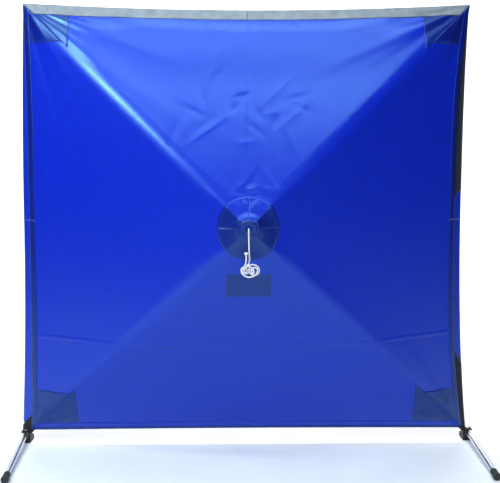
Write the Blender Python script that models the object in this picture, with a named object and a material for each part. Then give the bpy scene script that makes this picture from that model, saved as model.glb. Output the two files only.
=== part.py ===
"""Pop-up welding screen: one square of coated cloth held out by four rods on a folding hub.

X is the width, -Y the front, Z is up. The floor is z = 0 and the origin is the middle of the
footprint. Metres throughout.
"""
import math

import bmesh
import bpy
from mathutils import Matrix, Vector

# Panel
HALF_WIDTH = 1.000          # middle line to the side corners
PANEL_HEIGHT = 1.941        # bottom corners to top corners
CORNER_HEIGHT = 0.062       # floor to the bottom corners
BULGE = 0.400               # the cloth's peak stands this far in front of the corners
TOP_SAG = 0.027             # hollow of the top edge between its corners
BOTTOM_SAG = 0.004
SIDE_SAG = {-1: 0.012, 1: 0.055}
CLOTH = 0.0015              # thickness of the cloth plate
TAPE_WIDTH = 0.052
TAPE = 0.0008               # thickness of tape and hem
HEM_WIDTH = 0.012
FLAP_OVERLAP = 0.016        # flap behind the panel's side edge
# Flap's outer edge outside the corner, and its hollow, by (side, up or down)
FLAP_PROUD = {(-1, 1): 0.000, (-1, -1): 0.048, (1, 1): -0.005, (1, -1): 0.020}
FLAP_SAG = {(-1, 1): -0.020, (-1, -1): 0.028, (1, 1): 0.015, (1, -1): 0.040}
FLAP_TOP_END = 0.985        # share of the half height that the upper flap covers
FLAP_LOW_END = 0.940

# Clearances
GAP = 0.0003                # between pieces that touch
SEAM = 0.0002               # half the gap between neighbouring cloth pieces
HIDE = 0.0005               # overrun of a cutter past the faces it cuts
EMBED = 0.001               # depth at which joined shapes enter each other

# Hub
PIN_CIRCLE = 0.045          # hub axis to the four hinge pins
BOSS_RADIUS = 0.033
BOSS_FRONT = 0.009          # boss face in front of the pin plane
FLANGE_RADIUS = 0.062
FLANGE = 0.008
EAR = 0.0045                # thickness of one hinge ear
EAR_ROUND = 0.008
PLATE_RADIUS = 0.034
DISC = 0.0012               # cloth disc at the peak
CLOTH_START = 0.036         # radius at which the cloth facets begin
EYELET_RADIUS = 0.010
EYELET = 0.0014
BOLT_RADIUS = 0.006
BORE_PLAY = 0.0008          # bolt bore wider than the cord
BOLT_HEAD = 0.0085
BOLT_HEAD_HEIGHT = 0.0024
NUT_RADIUS = 0.013
NUT = 0.007
KNOT_RADIUS = 0.007

# Rods and their end fittings
ROD_RADIUS = 0.0055
ROD_DEPTH = 0.013           # rod axis behind the cloth
TIP_INSET = 0.004           # rod tip pivot short of the cloth corner
PIN_RADIUS = 0.003
PIN_HEAD = 0.0045
PIN_HEAD_HEIGHT = 0.0014
KNUCKLE_EYE = 0.0075
KNUCKLE_WIDTH = 0.012
FERRULE_WALL = 0.0032
FERRULE_START = 0.0125
FERRULE_END = 0.058
SOCKET_START = 0.020        # rod end inside its ferrule
NECK_RADIUS = 0.0056
CAP_WALL = 0.0020
CAP_LENGTH = 0.050
CAP_CLOSED = 0.018          # pivot to the bottom of the rod's socket in a tip cap
TIP_EYE = 0.008
TIP_EYE_WIDTH = 0.014
POCKET_WALL = 0.0014
POCKET_LENGTH = 0.075
SLEEVE_START = 0.024        # lower pocket short of the rod tip pivot

# Foot bracket
BRACKET_EAR = 0.005
BRACKET_ROUND = 0.009
CLEVIS_FLOOR = 0.0098       # pivot to the bottom of the clevis slot
CLEVIS_END = 0.021
SWIVEL_OFFSET = 0.034       # rod tip pivot to swivel bolt, outboard
PAD_BACK = 0.045
PAD_HEIGHT = 0.0215
FORK_PLAY = 0.0043          # fork taller than the leg tube
FORK_PLATE = 0.0050
BLOCK_INBOARD = 0.025
BLOCK_OUTBOARD = 0.017
BLOCK_HALF_DEPTH = 0.017
SLOT_PLAY = 0.0039          # fork's slot wider than the tube's radius
SWING_PLAY = 0.0014         # fork's round clear of the tube's end
SWIVEL_RADIUS = 0.0037
SWIVEL_HEAD = 0.0065
SWIVEL_HEAD_HEIGHT = 0.0046
SWIVEL_BLIND = 0.006        # bolt end above the floor

# Legs
LEG_RADIUS = 0.0111
LEG_WALL = 0.0014
LEG_LENGTH = 0.420
LEG_BEHIND = 0.012          # tube end behind the swivel bolt
LEG_TOE_IN = {-1: 5.6, 1: 2.1}  # degrees
TIP_WALL = 0.0030
TIP_FLARE = 0.0165
TIP_GRIP = 0.036
TIP_END = 0.014

# Pull cord
CORD_RADIUS = 0.0030
CORD_POINTS = 40
CORD_BEND = 0.0125          # bend of the cord where it leaves the hub
HANK_WIDTH = 0.088
HANK_HEIGHT = 0.062
HANK_DEPTH = 0.026
HANK_DROP = 0.135           # hub axis to the top of the hank
HANK_ASIDE = 0.002

# Fineness
ROUND = 36
MEDIUM = 16
SMALL = 12
CLOTH_ACROSS = 8
CLOTH_ALONG = 3

# Values that follow from the sizes above
BOLT_BORE = CORD_RADIUS + BORE_PLAY
FERRULE_RADIUS = ROD_RADIUS + GAP + FERRULE_WALL
CAP_RADIUS = ROD_RADIUS + GAP + CAP_WALL
FORK_HEIGHT = 2 * LEG_RADIUS + FORK_PLAY
SLOT_HALF = LEG_RADIUS + SLOT_PLAY
SLOT_ROUND = math.hypot(LEG_RADIUS, LEG_BEHIND) + SWING_PLAY
HALF_HEIGHT = PANEL_HEIGHT / 2
CENTRE_Z = CORNER_HEIGHT + HALF_HEIGHT
CORNER_RADIUS = math.hypot(HALF_WIDTH, HALF_HEIGHT)
SLOPE = math.atan(BULGE / CORNER_RADIUS)
UX = HALF_WIDTH / CORNER_RADIUS
UZ = HALF_HEIGHT / CORNER_RADIUS
TIP_RADIUS = CORNER_RADIUS - TIP_INSET
ROD_LENGTH = (TIP_RADIUS - PIN_CIRCLE) / math.cos(SLOPE)
PIN_BEHIND_PEAK = PIN_CIRCLE * math.tan(SLOPE) + ROD_DEPTH / math.cos(SLOPE)
TIP_BEHIND_CORNER = ROD_DEPTH / math.cos(SLOPE) - TIP_INSET * math.tan(SLOPE)
SWIVEL_X = TIP_RADIUS * UX + SWIVEL_OFFSET
TUBE_BOTTOM = FORK_PLAY / 2
SWIVEL_Z = PAD_HEIGHT + TUBE_BOTTOM + LEG_RADIUS
LEG_REACH = LEG_LENGTH + GAP + TIP_END
LEG_SLOPE = math.asin(SWIVEL_Z / math.hypot(LEG_REACH, TIP_FLARE)) - math.atan2(TIP_FLARE, LEG_REACH)
FRONT_REACH = LEG_REACH * math.cos(LEG_SLOPE) - TIP_BEHIND_CORNER
BACK_REACH = PAD_BACK + TIP_BEHIND_CORNER
CORNER_Y = (FRONT_REACH - BACK_REACH) / 2
PEAK_Y = CORNER_Y - BULGE
PIN_Y = PEAK_Y + PIN_BEHIND_PEAK
DISC_AHEAD = PIN_BEHIND_PEAK - CLOTH_START * math.tan(SLOPE)
FLANGE_FRONT = ((FLANGE_RADIUS - PIN_CIRCLE) * math.tan(SLOPE)
                + (FERRULE_RADIUS + GAP) / math.cos(SLOPE))
EAR_OFFSET = KNUCKLE_WIDTH / 2 + GAP + EAR / 2
CORD_MOUTH = DISC_AHEAD + DISC / 2 + EYELET + 2 * GAP + BOLT_HEAD_HEIGHT
CORD_HANG = CORD_MOUTH + CORD_BEND

CORNERS = {"upper_left": (-1, 1), "upper_right": (1, 1), "lower_left": (-1, -1), "lower_right": (1, -1)}
SIDES = {"left": -1, "right": 1}


# ---------------------------------------------------------------- helpers

def material(name, colour, roughness, metallic=0.0):
    mat = bpy.data.materials.get(name)
    if mat is None:
        mat = bpy.data.materials.new(name)
        mat.use_nodes = True
        shader = mat.node_tree.nodes["Principled BSDF"]
        shader.inputs["Base Color"].default_value = (*colour, 1.0)
        shader.inputs["Roughness"].default_value = roughness
        shader.inputs["Metallic"].default_value = metallic
    return mat


def axis_empty(name, frame, parent=None):
    """An empty on a body's joint axis, which carries that body's pieces."""
    empty = bpy.data.objects.new(name, None)
    empty.empty_display_size = FERRULE_END
    bpy.context.scene.collection.objects.link(empty)
    place(empty, frame, parent)
    return empty


def place(obj, frame, parent):
    obj.parent = parent
    if parent is not None:
        bpy.context.view_layer.update()
        obj.matrix_parent_inverse = parent.matrix_world.inverted()
    obj.matrix_basis = frame


def finish(name, bm, mat, frame=Matrix(), parent=None, smooth=True):
    """Turn a bmesh into a closed, outward-facing named object."""
    bmesh.ops.recalc_face_normals(bm, faces=bm.faces)
    mesh = bpy.data.meshes.new(name)
    bm.to_mesh(mesh)
    bm.free()
    if smooth:
        mesh.shade_smooth()
        mesh.set_sharp_from_angle(angle=math.radians(35))
    mesh.materials.append(mat)
    obj = bpy.data.objects.new(name, mesh)
    bpy.context.scene.collection.objects.link(obj)
    place(obj, frame, parent)
    return obj


def lathe(profile, steps):
    """Turn a closed (radius, z) outline about Z; points on the axis become poles."""
    bm = bmesh.new()
    verts = [bm.verts.new((r, 0, z)) for r, z in profile]
    edges = [bm.edges.new((a, b)) for a, b in zip(verts, verts[1:] + verts[:1])
             if max(a.co.x, b.co.x) > 0]
    bmesh.ops.spin(bm, geom=verts + edges, axis=(0, 0, 1), cent=(0, 0, 0),
                   angle=math.tau, steps=steps, use_merge=True)
    bmesh.ops.remove_doubles(bm, verts=bm.verts, dist=1e-7)
    bmesh.ops.recalc_face_normals(bm, faces=bm.faces)
    return bm


def rod_solid(radius, start, end, steps, way="Z"):
    """A solid cylinder from start to end along one local axis."""
    bm = bmesh.new()
    bmesh.ops.create_cone(bm, cap_ends=True, segments=steps, radius1=radius, radius2=radius,
                          depth=end - start)
    bmesh.ops.translate(bm, verts=bm.verts, vec=(0, 0, (start + end) / 2))
    turn_to(bm, way)
    return bm


def turn_to(bm, way):
    """Turn a shape built along Z so that it runs along X or Y."""
    turns = {"X": Matrix.Rotation(math.pi / 2, 3, "Y"), "Y": Matrix.Rotation(-math.pi / 2, 3, "X")}
    if way in turns:
        bmesh.ops.rotate(bm, verts=bm.verts, cent=(0, 0, 0), matrix=turns[way])


def box_solid(low, high):
    bm = bmesh.new()
    bmesh.ops.create_cube(bm, size=1.0)
    low, high = Vector(low), Vector(high)
    bmesh.ops.scale(bm, verts=bm.verts, vec=high - low)
    bmesh.ops.translate(bm, verts=bm.verts, vec=(low + high) / 2)
    return bm


def prism(outline, width):
    """Extrude a closed (x, z) outline along Y, centred on y = 0."""
    bm = bmesh.new()
    face = bm.faces.new([bm.verts.new((x, -width / 2, z)) for x, z in outline])
    grown = bmesh.ops.extrude_face_region(bm, geom=[face])["geom"]
    bmesh.ops.translate(bm, vec=(0, width, 0), verts=[g for g in grown if isinstance(g, bmesh.types.BMVert)])
    return bm


def shifted(bm, matrix):
    bmesh.ops.transform(bm, matrix=matrix, verts=bm.verts)
    return bm


def combine(base, tools, operation):
    """Boolean a bmesh with other solids, one after another."""
    for tool in tools:
        keep = finish("working_base", base, material("working", (0.5, 0.5, 0.5), 0.5), smooth=False)
        other = finish("working_tool", tool, material("working", (0.5, 0.5, 0.5), 0.5), smooth=False)
        mod = keep.modifiers.new("combine", "BOOLEAN")
        mod.operation, mod.solver, mod.object = operation, "EXACT", other
        bpy.context.view_layer.update()
        result = keep.evaluated_get(bpy.context.evaluated_depsgraph_get()).to_mesh()
        base = bmesh.new()
        base.from_mesh(result)
        for obj in (keep, other):
            mesh = obj.data
            bpy.data.objects.remove(obj)
            bpy.data.meshes.remove(mesh)
        bmesh.ops.remove_doubles(base, verts=base.verts, dist=1e-6)
        bmesh.ops.dissolve_degenerate(base, edges=base.edges, dist=1e-6)
    bmesh.ops.triangulate(base, faces=[f for f in base.faces if len(f.verts) > 4])
    return base


def arc(centre, radius, start, end, steps):
    """Points on an arc, in degrees, ends included."""
    angles = [math.radians(start + (end - start) * i / steps) for i in range(steps + 1)]
    return [(centre[0] + radius * math.cos(a), centre[1] + radius * math.sin(a)) for a in angles]


def frame_matrix(x_way, y_way, z_way, origin):
    rows = Matrix((x_way, y_way, z_way)).transposed().to_4x4()
    return Matrix.Translation(origin) @ rows


# ---------------------------------------------------------------- frames

def hub_frame():
    """Local Z points forward, local Y up, origin in the plane of the hinge pins."""
    return frame_matrix((1, 0, 0), (0, 0, 1), (0, -1, 0), (0, PIN_Y, CENTRE_Z))


def rod_frame(sx, sz):
    """Local X runs along the rod, local Z is its front normal, origin on its hinge pin."""
    ux, uz = sx * UX, sz * UZ
    c, s = math.cos(SLOPE), math.sin(SLOPE)
    along = Vector((ux * c, s, uz * c))
    front = Vector((ux * s, -c, uz * s))
    origin = (PIN_CIRCLE * ux, PIN_Y, CENTRE_Z + PIN_CIRCLE * uz)
    return frame_matrix(along, front.cross(along), front, origin)


def tip_point(sx, sz):
    return rod_frame(sx, sz) @ Vector((ROD_LENGTH, 0, 0))


def bracket_frame(sx):
    """World-aligned, origin on the pivot at the lower rod's tip."""
    return Matrix.Translation(tip_point(sx, -1))


def swivel_point(sx):
    return Vector((sx * SWIVEL_X, CORNER_Y + TIP_BEHIND_CORNER, SWIVEL_Z))


def leg_frame(sx):
    """Local X runs down the leg, origin where the tube crosses its swivel bolt."""
    yaw = math.radians(LEG_TOE_IN[sx])
    c, s = math.cos(LEG_SLOPE), math.sin(LEG_SLOPE)
    flat = Vector((-sx * math.sin(yaw), -math.cos(yaw), 0))
    along = flat * c - Vector((0, 0, s))
    up = flat * s + Vector((0, 0, c))
    return frame_matrix(along, up.cross(along), up, swivel_point(sx))


# ---------------------------------------------------------------- cloth

def edge_point(kind, sx, sz, t):
    """A point on the panel's edge: t runs from the edge's middle (0) to its corner (1)."""
    if kind == "rise":
        sag = (TOP_SAG if sz > 0 else BOTTOM_SAG) * (1 - t ** 2)
        return Vector((sx * HALF_WIDTH * t, CORNER_Y, CENTRE_Z + sz * (HALF_HEIGHT - sag)))
    sag = SIDE_SAG[sx] * (1 - t ** 3)
    return Vector((sx * (HALF_WIDTH - sag), CORNER_Y, CENTRE_Z + sz * HALF_HEIGHT * t))


def cloth_strip(kind, sx, sz, start, stop, end=1.0, front=0.0, thick=CLOTH):
    """A thin plate ruled from the cloth's peak to the panel's edge, between two shares of the way.

    front moves its front face forward from the cloth's middle surface.
    """
    peak = Vector((0, PEAK_Y, CENTRE_Z))
    first = Vector((sx, 0, 0)) if kind == "rise" else Vector((0, 0, sz))
    last = Vector((-sx * UZ, 0, sz * UX)) if kind == "rise" else Vector((sx * UZ, 0, -sz * UX))
    bm = bmesh.new()
    rows = []
    for j in range(CLOTH_ACROSS + 1):
        t = end * j / CLOTH_ACROSS
        rim = edge_point(kind, sx, sz, t) - peak
        inset = first * SEAM if j == 0 else last * SEAM if j == CLOTH_ACROSS else Vector()
        low, high = start(t, rim), stop(t, rim)
        rows.append([bm.verts.new(peak + rim * (low + (high - low) * i / CLOTH_ALONG) + inset
                                  - Vector((0, front, 0))) for i in range(CLOTH_ALONG + 1)])
    faces = [bm.faces.new((a[i], a[i + 1], b[i + 1], b[i]))
             for a, b in zip(rows, rows[1:]) for i in range(CLOTH_ALONG)]
    grown = bmesh.ops.extrude_face_region(bm, geom=faces)["geom"]
    bmesh.ops.translate(bm, vec=(0, thick, 0), verts=[g for g in grown if isinstance(g, bmesh.types.BMVert)])
    return bm


def cloth_facet(name, kind, sx, sz, parent):
    bm = cloth_strip(kind, sx, sz, lambda t, rim: CLOTH_START / math.hypot(rim.x, rim.z),
                     lambda t, rim: 1.0, front=CLOTH / 2)
    finish(name, bm, material("coated_cloth_blue", (0.004, 0.022, 0.60), 0.34), parent=parent)


def reflective_tape(name, sx, parent):
    """Tape along the top edge, laid on the front of the cloth."""
    bm = cloth_strip("rise", sx, 1, lambda t, rim: 1 - TAPE_WIDTH / math.hypot(HALF_HEIGHT, BULGE),
                     lambda t, rim: 1.0, front=CLOTH / 2 + GAP + TAPE, thick=TAPE)
    finish(name, bm, material("reflective_tape", (0.36, 0.39, 0.38), 0.42), parent=parent)


def bottom_hem(name, sx, parent):
    bm = cloth_strip("rise", sx, -1, lambda t, rim: 1 - HEM_WIDTH / math.hypot(HALF_HEIGHT, BULGE),
                     lambda t, rim: 1.0, front=CLOTH / 2 + GAP + TAPE, thick=TAPE)
    finish(name, bm, material("hem_cloth_dark", (0.003, 0.010, 0.22), 0.45), parent=parent)


def side_flap(name, sx, sz, parent):
    """Joining flap behind the panel's side edge, standing a little outside it."""
    end = FLAP_TOP_END if sz > 0 else FLAP_LOW_END
    proud, sag = FLAP_PROUD[sx, sz], FLAP_SAG[sx, sz]
    bm = cloth_strip("side", sx, sz, lambda t, rim: 1 - FLAP_OVERLAP / abs(rim.x),
                     lambda t, rim: (HALF_WIDTH + proud - sag * (1 - t ** 2)) / abs(rim.x),
                     end=end, front=-(CLOTH / 2 + GAP))
    finish(name, bm, material("flap_cloth_blue", (0.005, 0.030, 0.52), 0.40), parent=parent)


# ---------------------------------------------------------------- hub

def hub_body(parent):
    """Moulded body: rear flange, central boss and four pairs of hinge ears."""
    bore = BOLT_RADIUS + GAP
    back = -FLANGE_FRONT - FLANGE
    chamfer = FLANGE / 4
    body = lathe([(bore, back), (FLANGE_RADIUS - chamfer, back), (FLANGE_RADIUS, back + chamfer),
                  (FLANGE_RADIUS, -FLANGE_FRONT), (BOSS_RADIUS, -FLANGE_FRONT),
                  (BOSS_RADIUS, BOSS_FRONT), (bore, BOSS_FRONT)], ROUND)
    ears, pins = [], []
    inner, foot = BOSS_RADIUS - EMBED, -FLANGE_FRONT - EMBED
    outline = ([(inner, foot), (PIN_CIRCLE + EAR_ROUND, foot)]
               + arc((PIN_CIRCLE, 0), EAR_ROUND, 0, 90, 6) + [(inner, EAR_ROUND)])
    for sx, sz in CORNERS.values():
        turn = Matrix.Rotation(math.atan2(sz * UZ, sx * UX), 4, "Z")
        for side in (-1, 1):
            ears.append(shifted(prism(outline, EAR), turn @ Matrix.Translation((0, side * EAR_OFFSET, 0))))
        reach = EAR_OFFSET + EAR
        hole = rod_solid(PIN_RADIUS + GAP, -reach, reach, SMALL, "Y")
        pins.append(shifted(hole, turn @ Matrix.Translation((PIN_CIRCLE, 0, 0))))
    body = combine(combine(body, ears, "UNION"), pins, "DIFFERENCE")
    finish("hub_body", body, material("nylon_black", (0.012, 0.012, 0.014), 0.48), hub_frame(), parent)


def hub_front_plate(parent):
    """Round-edged plate that backs the cloth at its peak."""
    bore, low = BOLT_RADIUS + GAP, BOSS_FRONT + GAP
    high = DISC_AHEAD - DISC / 2 - GAP
    edge = (high - low) / 2
    profile = [(bore, low)] + arc((PLATE_RADIUS - edge, low + edge), edge, -90, 90, 4) + [(bore, high)]
    finish("hub_front_plate", lathe(profile, ROUND), material("nylon_black", (0.012, 0.012, 0.014), 0.48),
           hub_frame(), parent)


def cloth_centre(parent):
    """Disc of cloth at the peak, clamped between the front plate and the eyelet."""
    bore, low, high = BOLT_RADIUS + GAP, DISC_AHEAD - DISC / 2, DISC_AHEAD + DISC / 2
    rim = CLOTH_START - GAP
    finish("cloth_centre", lathe([(bore, low), (rim, low), (rim, high), (bore, high)], ROUND),
           material("coated_cloth_blue", (0.004, 0.022, 0.60), 0.34), hub_frame(), parent)


def hub_eyelet(parent):
    bore, low = BOLT_RADIUS + GAP, DISC_AHEAD + DISC / 2 + GAP
    profile = [(bore, low)] + arc((EYELET_RADIUS - EYELET, low), EYELET, 0, 90, 5) + [(bore, low + EYELET)]
    finish("hub_eyelet", lathe(profile, MEDIUM), material("nylon_blue", (0.006, 0.020, 0.36), 0.40),
           hub_frame(), parent)


def hub_bolt(parent):
    """Hollow bolt through the whole hub, with a low round head at the front."""
    seat = CORD_MOUTH - BOLT_HEAD_HEIGHT
    back = -FLANGE_FRONT - FLANGE - GAP - NUT - BOLT_RADIUS / 3
    edge = BOLT_HEAD_HEIGHT - HIDE
    profile = ([(BOLT_BORE, back), (BOLT_RADIUS, back), (BOLT_RADIUS, seat), (BOLT_HEAD, seat)]
               + arc((BOLT_HEAD - edge, seat + HIDE), edge, 0, 90, 4) + [(BOLT_BORE, seat + BOLT_HEAD_HEIGHT)])
    finish("hub_bolt", lathe(profile, MEDIUM), material("nylon_blue", (0.006, 0.020, 0.36), 0.40),
           hub_frame(), parent)


def hub_nut(parent):
    """Six-sided nut behind the flange."""
    high = -FLANGE_FRONT - FLANGE - GAP
    nut = rod_solid(NUT_RADIUS, high - NUT, high, 6)
    nut = combine(nut, [rod_solid(BOLT_RADIUS + GAP, high - 2 * NUT, high + NUT, MEDIUM)], "DIFFERENCE")
    finish("hub_nut", nut, material("zinc_plated_steel", (0.50, 0.50, 0.48), 0.32, 1.0),
           hub_frame(), parent, smooth=False)


def knot_centre():
    """Height of the stop knot in the hub frame: it bears on the rim of the bolt's bore."""
    back = -FLANGE_FRONT - FLANGE - GAP - NUT - BOLT_RADIUS / 3
    return back - math.sqrt((KNOT_RADIUS + GAP) ** 2 - BOLT_BORE ** 2)


def cord_stop_knot(parent):
    bm = bmesh.new()
    bmesh.ops.create_uvsphere(bm, u_segments=SMALL, v_segments=SMALL // 2, radius=KNOT_RADIUS)
    shifted(bm, Matrix.Translation((0, 0, knot_centre())))
    finish("cord_stop_knot", bm, material("cord_white", (0.80, 0.80, 0.78), 0.80), hub_frame(), parent)


def hinge_pin(name, half_width, frame, parent):
    """Headed pin along local Y; half_width is the half width of what it holds together."""
    end = half_width + GAP
    profile = [(0, -end), (PIN_RADIUS, -end), (PIN_RADIUS, end), (PIN_HEAD, end),
               (PIN_HEAD, end + PIN_HEAD_HEIGHT / 2), (PIN_HEAD - PIN_HEAD_HEIGHT / 2, end + PIN_HEAD_HEIGHT),
               (0, end + PIN_HEAD_HEIGHT)]
    bm = lathe(profile, SMALL)
    turn_to(bm, "Y")
    finish(name, bm, material("zinc_plated_steel", (0.50, 0.50, 0.48), 0.32, 1.0), frame, parent)


# ---------------------------------------------------------------- rods

def eyed_socket(eye, width, neck, radius, start, end, bottom):
    """An eye on the pivot, a neck, and a socket along local X that holds the rod's end."""
    body = rod_solid(eye, -width / 2, width / 2, MEDIUM, "Y")
    shank = lathe([(0, 0), (neck, 0), (neck, start), (radius, start), (radius, end), (0, end)], MEDIUM)
    turn_to(shank, "X")
    body = combine(body, [shank], "UNION")
    holes = [rod_solid(ROD_RADIUS + GAP, bottom, end + EMBED, SMALL, "X"),
             rod_solid(PIN_RADIUS + GAP, -width, width, SMALL, "Y")]
    return combine(body, holes, "DIFFERENCE")


def knuckle(name, frame, parent):
    bm = eyed_socket(KNUCKLE_EYE, KNUCKLE_WIDTH, NECK_RADIUS, FERRULE_RADIUS, FERRULE_START, FERRULE_END,
                     SOCKET_START)
    finish(name, bm, material("nylon_black", (0.012, 0.012, 0.014), 0.48), frame, parent)


def rod(name, frame, parent):
    bm = rod_solid(ROD_RADIUS, SOCKET_START + GAP, ROD_LENGTH - CAP_CLOSED - GAP, SMALL, "X")
    finish(name, bm, material("fibreglass_grey", (0.16, 0.16, 0.15), 0.42), frame, parent)


def upper_tip_cap(name, frame, parent):
    """Round-ended cap on a rod tip that sits in a corner pocket."""
    end, bottom, mouth = ROD_LENGTH - SLEEVE_START / 2, ROD_LENGTH - CAP_CLOSED, ROD_LENGTH - CAP_LENGTH
    bore, edge = ROD_RADIUS + GAP, CAP_RADIUS / 2
    profile = ([(0, bottom), (bore, bottom), (bore, mouth), (CAP_RADIUS, mouth)]
               + arc((CAP_RADIUS - edge, end - edge), edge, 0, 90, 5) + [(0, end)])
    bm = lathe(profile, MEDIUM)
    turn_to(bm, "X")
    finish(name, bm, material("nylon_black", (0.012, 0.012, 0.014), 0.48), frame, parent)


def lower_tip_cap(name, frame, parent):
    """Eyed cap on a lower rod tip, pinned in its foot bracket."""
    bm = eyed_socket(TIP_EYE, TIP_EYE_WIDTH, NECK_RADIUS, CAP_RADIUS, FERRULE_START, CAP_LENGTH, CAP_CLOSED)
    turn = Matrix.Translation((ROD_LENGTH, 0, 0)) @ Matrix.Rotation(math.pi, 4, "Z")
    finish(name, shifted(bm, turn), material("nylon_black", (0.012, 0.012, 0.014), 0.48), frame, parent)


def corner_pocket(name, sz, frame, parent):
    """Webbing pocket behind a corner: closed over an upper tip, open round a lower one."""
    inner = CAP_RADIUS + GAP
    outer = inner + POCKET_WALL
    if sz > 0:
        floor = ROD_LENGTH - SLEEVE_START / 2 + GAP
        profile = [(0, floor), (inner, floor), (inner, floor - POCKET_LENGTH), (outer, floor - POCKET_LENGTH),
                   (outer, floor + POCKET_WALL / 2), (outer - POCKET_WALL / 2, floor + POCKET_WALL),
                   (0, floor + POCKET_WALL)]
    else:
        high = ROD_LENGTH - SLEEVE_START
        profile = [(inner, high - POCKET_LENGTH), (outer, high - POCKET_LENGTH), (outer, high), (inner, high)]
    bm = lathe(profile, MEDIUM)
    turn_to(bm, "X")
    finish(name, bm, material("webbing_black", (0.010, 0.010, 0.012), 0.75), frame, parent)


# ---------------------------------------------------------------- foot brackets and legs

def clevis_turn(sx):
    """Local X outward along the diagonal, local Y along the bracket's pivot."""
    outward, back = Vector((sx * UX, 0, -UZ)), Vector((0, 1, 0))
    return frame_matrix(outward, back.cross(outward), back, (0, 0, 0))


def foot_bracket(name, sx, parent):
    """Moulded foot: a pad on the floor, a fork for the leg and a clevis for the rod tip."""
    def span(x0, x1, y0, y1, z0, z1):
        lows, highs = sorted((sx * x0, sx * x1)), (z0 - tip.z, z1 - tip.z)
        return box_solid((lows[0], y0, highs[0]), (lows[1], y1, highs[1]))

    tip = tip_point(sx, -1)
    bolt_x = SWIVEL_OFFSET
    inboard, outboard = bolt_x - BLOCK_INBOARD, bolt_x + BLOCK_OUTBOARD
    top = PAD_HEIGHT + FORK_HEIGHT + FORK_PLATE
    body = span(inboard, outboard, -BLOCK_HALF_DEPTH, BLOCK_HALF_DEPTH, 0, top)
    pad = span(inboard, outboard, 0, PAD_BACK, 0, PAD_HEIGHT)
    half = TIP_EYE_WIDTH / 2 + GAP + BRACKET_EAR
    rounded = arc((0, 0), BRACKET_ROUND, 90, 270, 10)
    clevis = prism(rounded + [(CLEVIS_END, -BRACKET_ROUND), (CLEVIS_END, BRACKET_ROUND)], 2 * half)
    clevis = shifted(clevis, clevis_turn(sx))
    slot = box_solid((-3 * BRACKET_ROUND, -half + BRACKET_EAR, -2 * BRACKET_ROUND),
                     (CLEVIS_FLOOR, half - BRACKET_EAR, 2 * BRACKET_ROUND))
    pin_hole = rod_solid(PIN_RADIUS + GAP, -2 * half, 2 * half, SMALL, "Y")
    fork = span(bolt_x - SLOT_HALF, outboard + EMBED, -PAD_BACK, PAD_BACK + EMBED,
                PAD_HEIGHT, PAD_HEIGHT + FORK_HEIGHT)
    swing = rod_solid(SLOT_ROUND, PAD_HEIGHT - tip.z, PAD_HEIGHT + FORK_HEIGHT - tip.z, MEDIUM)
    bolt_hole = rod_solid(SWIVEL_RADIUS + GAP, SWIVEL_BLIND - tip.z, top + EMBED - tip.z, SMALL)
    at_bolt = Matrix.Translation((sx * bolt_x, 0, 0))
    body = combine(body, [pad, clevis], "UNION")
    body = combine(body, [shifted(slot, clevis_turn(sx)), shifted(pin_hole, clevis_turn(sx)), fork,
                          shifted(swing, at_bolt), shifted(bolt_hole, at_bolt)], "DIFFERENCE")
    finish(name, body, material("nylon_black", (0.012, 0.012, 0.014), 0.48), bracket_frame(sx), parent)


def swivel_bolt(name, sx, parent):
    """Upright bolt that the leg swings on, threaded into the pad."""
    seat = PAD_HEIGHT + FORK_HEIGHT + FORK_PLATE + GAP
    top, edge = seat + SWIVEL_HEAD_HEIGHT, SWIVEL_HEAD_HEIGHT / 3
    bm = lathe([(0, SWIVEL_BLIND + GAP), (SWIVEL_RADIUS, SWIVEL_BLIND + GAP), (SWIVEL_RADIUS, seat),
                (SWIVEL_HEAD, seat), (SWIVEL_HEAD, top - edge), (SWIVEL_HEAD - edge, top), (0, top)], MEDIUM)
    point = swivel_point(sx)
    finish(name, bm, material("zinc_plated_steel", (0.50, 0.50, 0.48), 0.32, 1.0),
           Matrix.Translation((point.x, point.y, 0)), parent)


def leg_tube(name, sx, parent):
    """Round tube, drilled upright for its swivel bolt."""
    inner = LEG_RADIUS - LEG_WALL
    bm = lathe([(inner, -LEG_BEHIND), (LEG_RADIUS, -LEG_BEHIND), (LEG_RADIUS, LEG_LENGTH), (inner, LEG_LENGTH)],
               MEDIUM)
    turn_to(bm, "X")
    hole = rod_solid(SWIVEL_RADIUS + GAP, -2 * LEG_RADIUS, 2 * LEG_RADIUS, SMALL)
    upright = Matrix.Rotation(LEG_SLOPE, 4, "Y").inverted()
    bm = combine(bm, [shifted(hole, upright)], "DIFFERENCE")
    finish(name, bm, material("aluminium_tube", (0.55, 0.56, 0.58), 0.28, 1.0), leg_frame(sx), parent)


def leg_tip(name, sx, parent):
    """Rubber ferrule with a flared foot."""
    inner, mouth, floor = LEG_RADIUS + GAP, LEG_LENGTH - TIP_GRIP, LEG_LENGTH + GAP
    outer, end = inner + TIP_WALL, LEG_LENGTH + GAP + TIP_END
    lip = TIP_WALL / 2
    bm = lathe([(inner, mouth), (outer - lip, mouth), (outer, mouth + lip), (outer, floor - lip),
                (TIP_FLARE - lip, end - TIP_END / 2), (TIP_FLARE, end - lip), (TIP_FLARE, end), (0, end),
                (0, floor), (inner, floor)], MEDIUM)
    turn_to(bm, "X")
    finish(name, bm, material("rubber_black", (0.018, 0.019, 0.019), 0.70), leg_frame(sx), parent)


# ---------------------------------------------------------------- pull cord

def smooth_route(stops, count):
    """Evenly counted points on a Catmull-Rom curve through the stops."""
    ends = [stops[0] * 2 - stops[1]] + stops + [stops[-1] * 2 - stops[-2]]
    points = []
    for i in range(count):
        u = i / (count - 1) * (len(stops) - 1)
        k = min(int(u), len(stops) - 2)
        a, b, c, d = ends[k:k + 4]
        f = u - k
        points.append(0.5 * (2 * b + (c - a) * f + (2 * a - 5 * b + 4 * c - d) * f ** 2
                             + (3 * b - a - 3 * c + d) * f ** 3))
    return points


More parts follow.
